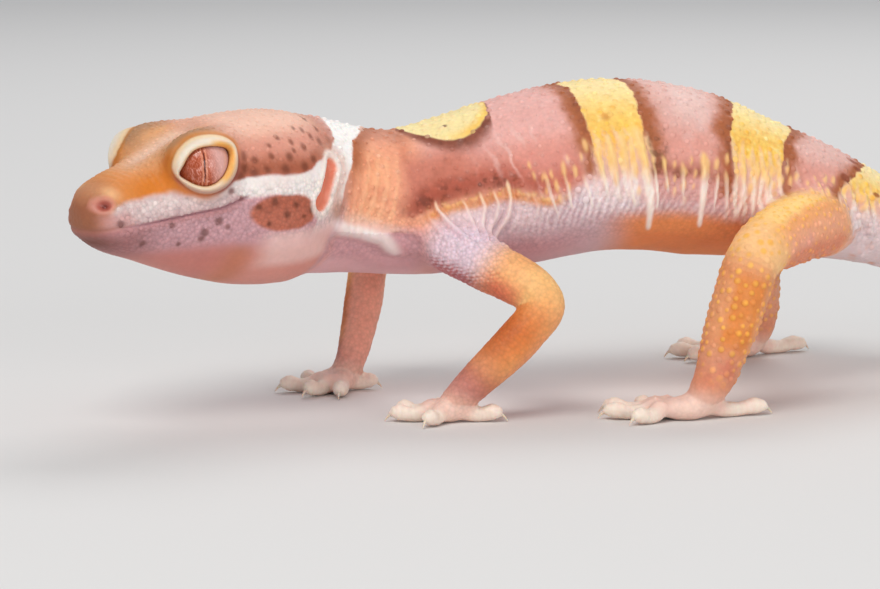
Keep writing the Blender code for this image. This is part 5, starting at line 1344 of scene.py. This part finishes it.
def eye_material():
    """A salmon iris with a thin upright slit, veined, darker towards its rim as painted shade from the lids and paler
    at the back as a painted reflection, under a wet surface.
    """
    n = Nodes("gecko_eye")
    at = n.attr("iris")                      # along, across and out, in eye radii
    sep = n.add("ShaderNodeSeparateXYZ")
    n.link(at.outputs["Vector"], sep.inputs[0])
    x, y = sep.outputs[0], sep.outputs[1]
    noise_ = n.add("ShaderNodeTexNoise")
    noise_.inputs["Scale"].default_value = 9.0
    noise_.inputs["Detail"].default_value = 5
    n.link(at.outputs["Vector"], noise_.inputs["Vector"])
    veins = n.add("ShaderNodeTexNoise")
    veins.inputs["Scale"].default_value = 6.0
    veins.inputs["Detail"].default_value = 6
    veins.inputs["Distortion"].default_value = 1.2
    stretch = n.add("ShaderNodeMapping")
    stretch.inputs["Scale"].default_value = (2.6, 1.0, 1.0)
    n.link(at.outputs["Vector"], stretch.inputs["Vector"])
    n.link(stretch.outputs[0], veins.inputs["Vector"])
    ramp = n.add("ShaderNodeValToRGB")
    ramp.color_ramp.elements[0].position = 0.30
    ramp.color_ramp.elements[0].color = (*srgb(142, 54, 26), 1)
    ramp.color_ramp.elements[1].position = 0.72
    ramp.color_ramp.elements[1].color = (*srgb(236, 172, 158), 1)
    mid = ramp.color_ramp.elements.new(0.52)
    mid.color = (*srgb(190, 94, 62), 1)
    n.link(veins.outputs["Fac"], ramp.inputs["Fac"])
    col = ramp.outputs["Color"]
    # painted shade: the iris darkens towards its rim, where the lids shade it
    r = n.math("SQRT", n.math("ADD", n.math("MULTIPLY", x, x), n.math("MULTIPLY", y, y)))
    rim = n.math("MULTIPLY", n.math("SUBTRACT", r, 0.62), 3.4, clamp=True)
    col = n.mix("MIX", n.math("MULTIPLY", rim, 0.75), col, (*srgb(138, 60, 26), 1))
    # paler, pinker band on each side of the slit
    wav = n.math("MULTIPLY", n.math("SUBTRACT", noise_.outputs["Fac"], 0.5), 0.05)
    xs = n.math("ABSOLUTE", n.math("ADD", n.math("ADD", n.math("SUBTRACT", x, 0.125), n.math("MULTIPLY", y, 0.205)), wav))
    # painted reflection: the back half of the iris goes pale pink
    painted_reflection = n.math("MULTIPLY", n.math("SUBTRACT", 0.02, x), 2.4, clamp=True)
    col = n.mix("MIX", n.math("MULTIPLY", painted_reflection, 0.75), col, (*srgb(238, 190, 182), 1))
    front_ = n.math("MULTIPLY", n.math("SUBTRACT", x, 0.20), 2.0, clamp=True)
    col = n.mix("MIX", n.math("MULTIPLY", front_, 0.65), col, (*srgb(146, 62, 28), 1))
    halo = n.math("SUBTRACT", 1.0, n.math("MULTIPLY", n.math("ABSOLUTE", n.math("SUBTRACT", xs, 0.065)), 26.0), clamp=True)
    col = n.mix("MIX", n.math("MULTIPLY", halo, 0.55), col, (*srgb(240, 168, 132), 1))
    taper = n.math("SUBTRACT", 1.0, n.math("POWER", n.math("MULTIPLY", n.math("ABSOLUTE", y), 1.85), 4.0), clamp=True)
    wide = n.math("MULTIPLY", taper, 0.024)
    slit = n.math("MULTIPLY", n.math("SUBTRACT", wide, xs), 90.0, clamp=True)
    col = n.mix("MIX", slit, col, (*srgb(62, 22, 14), 1))
    n.link(col, n.b.inputs["Base Color"])
    n.b.inputs["Roughness"].default_value = 0.35
    n.b.inputs["Specular IOR Level"].default_value = 0.15
    n.b.inputs["Coat Weight"].default_value = 1.0
    n.b.inputs["Coat Roughness"].default_value = 0.03
    n.b.inputs["Coat IOR"].default_value = 1.38
    return n.m


def claw_material():
    n = Nodes("gecko_claw")
    noise_ = n.add("ShaderNodeTexNoise")
    noise_.inputs["Scale"].default_value = 1/0.0006
    at = n.add("ShaderNodeTexCoord").outputs["Object"]
    n.link(at, noise_.inputs["Vector"])
    ramp = n.add("ShaderNodeValToRGB")
    ramp.color_ramp.elements[0].color = (*srgb(206, 184, 158), 1)
    ramp.color_ramp.elements[1].color = (*srgb(240, 226, 206), 1)
    n.link(noise_.outputs["Fac"], ramp.inputs["Fac"])
    n.link(ramp.outputs["Color"], n.b.inputs["Base Color"])
    n.b.inputs["Roughness"].default_value = 0.35
    n.b.inputs["Subsurface Weight"].default_value = 0.3
    n.b.inputs["Subsurface Scale"].default_value = 0.0006
    return n.m


skin.name = "skin"
skin.data.shade_smooth()
skin.data.materials.clear()
skin.data.materials.append(skin_material())
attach(skin, "root")
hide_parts("head", "lower_jaw", "neck", "chest", "belly", "hips", "tail_base", "tail_middle", "tail_end",
            "upper_arm_left", "forearm_left", "hand_left", "upper_arm_right", "forearm_right", "hand_right",
            "thigh_left", "shank_left", "foot_left", "thigh_right", "shank_right", "foot_right")

# ---- the larger tubercles: each a small solid bead rooted in the skin, its colour that of the skin it stands on ----
uv_loops = np.empty(len(skin.data.loops)*2, np.float32)
skin.data.uv_layers["OFBake"].data.foreach_get("uv", uv_loops)
uv_loops = uv_loops.reshape(-1, 2)
loop_v = np.empty(len(skin.data.loops), np.int32)
skin.data.loops.foreach_get("vertex_index", loop_v)
root_uv = np.zeros((len(co), 2), np.float32)
root_uv[loop_v] = uv_loops
RING_AT = ((1.10, -0.42), (1.0, -0.05), (0.84, 0.38), (0.55, 0.74), (0.22, 0.95))         # out from the middle, and up
SIDES = 10
scale_m = skin_material("gecko_scale", 0.0)


def bead_coat(name, pick):
    c, nn, rr, hh, vv = root_co[pick], root_nrm[pick], root_r[pick], root_h[pick], beads[pick]
    k = len(c)
    t1 = unit(np.cross(nn, np.where(np.abs(nn[:, 2:3]) < 0.9, [[0, 0, 1.0]], [[1.0, 0, 0]])))
    t2 = np.cross(nn, t1)
    aa = np.linspace(0, 2*np.pi, SIDES, endpoint=False)
    per_bead = len(RING_AT)*SIDES+2
    V = np.empty((k, per_bead, 3))
    U = np.empty((k, per_bead, 2))
    T = np.empty(per_bead)
    lean = -0.16*(1-np.abs(nn@np.array([0, 1.0, 0])))[:, None]*np.array([[0, -1.0, 0]])    # their points lean back a little
    for j, (ro, up_) in enumerate(RING_AT):
        for i, a in enumerate(aa):
            V[:, j*SIDES+i] = c+(t1*math.cos(a)+t2*math.sin(a))*(rr*ro)[:, None]+nn*(hh*up_)[:, None]+lean*(rr*max(up_, 0))[:, None]
            U[:, j*SIDES+i] = root_uv[vv]+0.0014*ro*np.array([math.cos(a), math.sin(a)])
            T[j*SIDES+i] = max(up_, 0)
    V[:, -2] = c+nn*hh[:, None]+lean*rr[:, None]
    V[:, -1] = c-nn*(hh*0.5)[:, None]
    U[:, -2:] = root_uv[vv][:, None]
    T[-2], T[-1] = 1, 0
    quads, tris = [], []
    for j in range(len(RING_AT)-1):
        for i in range(SIDES):
            quads.append((j*SIDES+i, j*SIDES+(i+1) % SIDES, (j+1)*SIDES+(i+1) % SIDES, (j+1)*SIDES+i))
    last = (len(RING_AT)-1)*SIDES
    for i in range(SIDES):
        tris.append((last+i, last+(i+1) % SIDES, per_bead-2))
        tris.append(((i+1) % SIDES, i, per_bead-1))
    base = (np.arange(k)*per_bead)[:, None, None]
    q = (np.array(quads)[None]+base).reshape(-1, 4)
    t = (np.array(tris)[None]+base).reshape(-1, 3)
    me = bpy.data.meshes.new(name)
    me.vertices.add(k*per_bead)
    me.loops.add(q.size+t.size)
    me.polygons.add(len(q)+len(t))
    me.vertices.foreach_set("co", to_world(V.reshape(-1, 3)).ravel())
    start = np.concatenate([np.arange(len(q))*4, q.size+np.arange(len(t))*3]).astype(np.int32)
    me.polygons.foreach_set("loop_start", start)
    loops = np.concatenate([q.ravel(), t.ravel()]).astype(np.int32)
    me.loops.foreach_set("vertex_index", loops)
    me.update(calc_edges=True)
    me.validate()
    uv = me.uv_layers.new(name="OFBake")
    uv.data.foreach_set("uv", U.reshape(-1, 2)[loops].astype(np.float32).ravel())
    base_c, top_c = ground[vv], paint[vv]
    shade = np.clip(0.94+0.20*bead_rand[pick], 0.9, 1.15)[:, None]
    tipc = np.clip(top_c*shade*1.03+0.004, 0, 1)
    col = base_c[:, None]*(1-T[None, :, None])+tipc[:, None]*T[None, :, None]
    col = np.concatenate([col, np.ones(col.shape[:2]+(1,))], 2).reshape(-1, 4)
    a_ = me.attributes.new("paint", "FLOAT_COLOR", "POINT")
    a_.data.foreach_set("color", col.astype(np.float32).ravel())
    for nm, val in (("grain", 0.10), ("wet", 0.0), ("tub", 1.0)):
        a_ = me.attributes.new(nm, "FLOAT", "POINT")
        a_.data.foreach_set("value", np.full(k*per_bead, val, np.float32))
    me.shade_smooth()
    ob = bpy.data.objects.new(name, me)
    bpy.context.scene.collection.objects.link(ob)
    me.materials.append(scale_m)
    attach(ob, "root")
    return len(q)*2+len(t)


bead_rand = np.random.RandomState(77).uniform(-1, 1, len(beads))
zone = np.where(on_head[beads] > 0.5, 0, np.where(on_limb[beads] > 0.5, 3, np.where(s_ax[beads] < 62, 1, np.where(s_ax[beads] < 92, 2, 4))))
for z_, nm in enumerate(("scales_head", "scales_shoulders", "scales_loins", "scales_limbs", "scales_tail")):
    pick = np.nonzero(zone == z_)[0]
    if len(pick):
        print(nm, len(pick), "beads", bead_coat(nm, pick), "triangles")

# ---- eyes: a ball with a slightly fuller cornea ----
eye_m = eye_material()
for k, label in ((1, "left"), (-1, "right")):
    e0, al, ac, ou = EYES[k]
    n_ring, n_seg = 72, 96
    ph = np.linspace(0, np.pi, n_ring+2)[1:-1]
    th = np.linspace(0, 2*np.pi, n_seg, endpoint=False)
    d = np.array([[(math.sin(p)*math.cos(t), math.sin(p)*math.sin(t), math.cos(p)) for t in th] for p in ph])
    V, F = tube_faces(d, np.array([0, 0, 1.0]), np.array([0, 0, -1.0]))
    out = EYE_RADIUS*(1+0.035*np.exp(-((1-V[:, 2])/0.30)**2))
    pos = (V*out[:, None])@np.array([al, ac, ou])+e0
    ob = from_shells("eyeball_"+label, [(pos, F)])
    iris = np.empty((len(V), 3), np.float32)
    iris[:] = V
    iris[:, 0] *= 1
    at = ob.data.attributes.new("iris", "FLOAT_VECTOR", "POINT")
    at.data.foreach_set("vector", iris.ravel())
    uv = ob.data.uv_layers.new(name="OFBake")
    vi = np.empty(len(ob.data.loops), np.int32)
    ob.data.loops.foreach_get("vertex_index", vi)
    azim = np.stack([0.25+0.5*(V[vi, 2] < 0)+0.235*V[vi, 0], 0.5+0.47*V[vi, 1]], 1)
    uv.data.foreach_set("uv", azim.astype(np.float32).ravel())
    ob.data.shade_smooth()
    ob.data.materials.append(eye_m)
    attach(ob, "root")
    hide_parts("eye_"+label)

# ---- claws ----
claw_shells = []
for name, toes in TOES.items():
    for root, tip in toes:
        a, b = np.array(root, float), np.array(tip, float)
        d = unit(b-a)
        t = np.linspace(0, 1, 12)
        p = np.array([[*(b+d*(-0.20+0.95*x)), 0.84-0.76*x**2.2] for x in t])
        claw_shells.append(tube(p, 0.24*(1-t)**0.8+0.03, 12))
claws = from_shells("claws", claw_shells)
claws.data.shade_smooth()
claws.data.materials.append(claw_material())
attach(claws, "root")

# ---------------- stage, light and camera ----------------
def plain(name, colour, rough=0.9):
    m = bpy.data.materials.new(name)
    m.use_nodes = True
    b = m.node_tree.nodes["Principled BSDF"]
    b.inputs["Base Color"].default_value = (*colour, 1)
    b.inputs["Roughness"].default_value = rough
    return m


A, E, D = rad(75.0), rad(8.0), 380.0
side = Vector((math.cos(A), math.sin(A), 0))
bm = bmesh.new()
bmesh.ops.create_grid(bm, x_segments=8, y_segments=8, size=6.0)
bmesh.ops.translate(bm, vec=(0, 0, -0.00003), verts=bm.verts)
me = bpy.data.meshes.new("floor")
bm.to_mesh(me)
bm.free()
floor = bpy.data.objects.new("floor", me)
bpy.context.scene.collection.objects.link(floor)
me.materials.append(plain("floor", (0.76, 0.75, 0.735)))


def area(name, at, aim, size, power, colour=(1, 1, 1)):
    d = bpy.data.lights.new(name, "AREA")
    d.shape = "RECTANGLE"
    d.size, d.size_y = size
    d.energy = power
    d.color = colour
    ob = bpy.data.objects.new(name, d)
    ob.location = at
    ob.rotation_euler = (Vector(aim)-Vector(at)).to_track_quat("-Z", "Y").to_euler()
    bpy.context.scene.collection.objects.link(ob)
    return ob


toward = Vector((math.sin(A), -math.cos(A), 0))      # from the animal to the camera, level
area("key", toward*0.55-side*0.25+Vector((0, 0, 0.75)), (0, 0, 0.015), (0.5, 0.4), 4.3, (1.0, 0.985, 0.96))
area("fill", toward*0.8+side*0.5+Vector((0, 0, 0.16)), (0, 0, 0.015), (0.8, 0.5), 3.3, (0.98, 0.99, 1.0))
area("back", -toward*0.5+side*0.15+Vector((0, 0, 0.6)), (0, 0, 0.02), (0.5, 0.3), 1.8)
world = bpy.data.worlds.new("world")
bpy.context.scene.world = world
world.use_nodes = True
world.node_tree.nodes["Background"].inputs["Color"].default_value = (0.93, 0.95, 1.0, 1)
world.node_tree.nodes["Background"].inputs["Strength"].default_value = 0.40

cam = bpy.data.cameras.new("camera")
cam.lens = 36.0*9.3*D/880.0
cam.sensor_width = 36.0
cam.clip_start = 0.02
cam.clip_end = 20.0
cam_ob = bpy.data.objects.new("camera", cam)
T = to_world(np.array([0.0, 0.0, 11.5]))
c = np.array([math.cos(E)*math.sin(A), -math.cos(E)*math.cos(A), math.sin(E)])
cam_ob.location = Vector(T)+Vector(c)*D*MM
cam_ob.rotation_euler = (-Vector(c)).to_track_quat("-Z", "Y").to_euler()
bpy.context.scene.collection.objects.link(cam_ob)
bpy.context.scene.camera = cam_ob
bpy.context.scene.view_settings.view_transform = "Standard"

for ob in list(bpy.data.objects):
    if ob.name.startswith("shell_tmp"):
        bpy.data.objects.remove(ob)
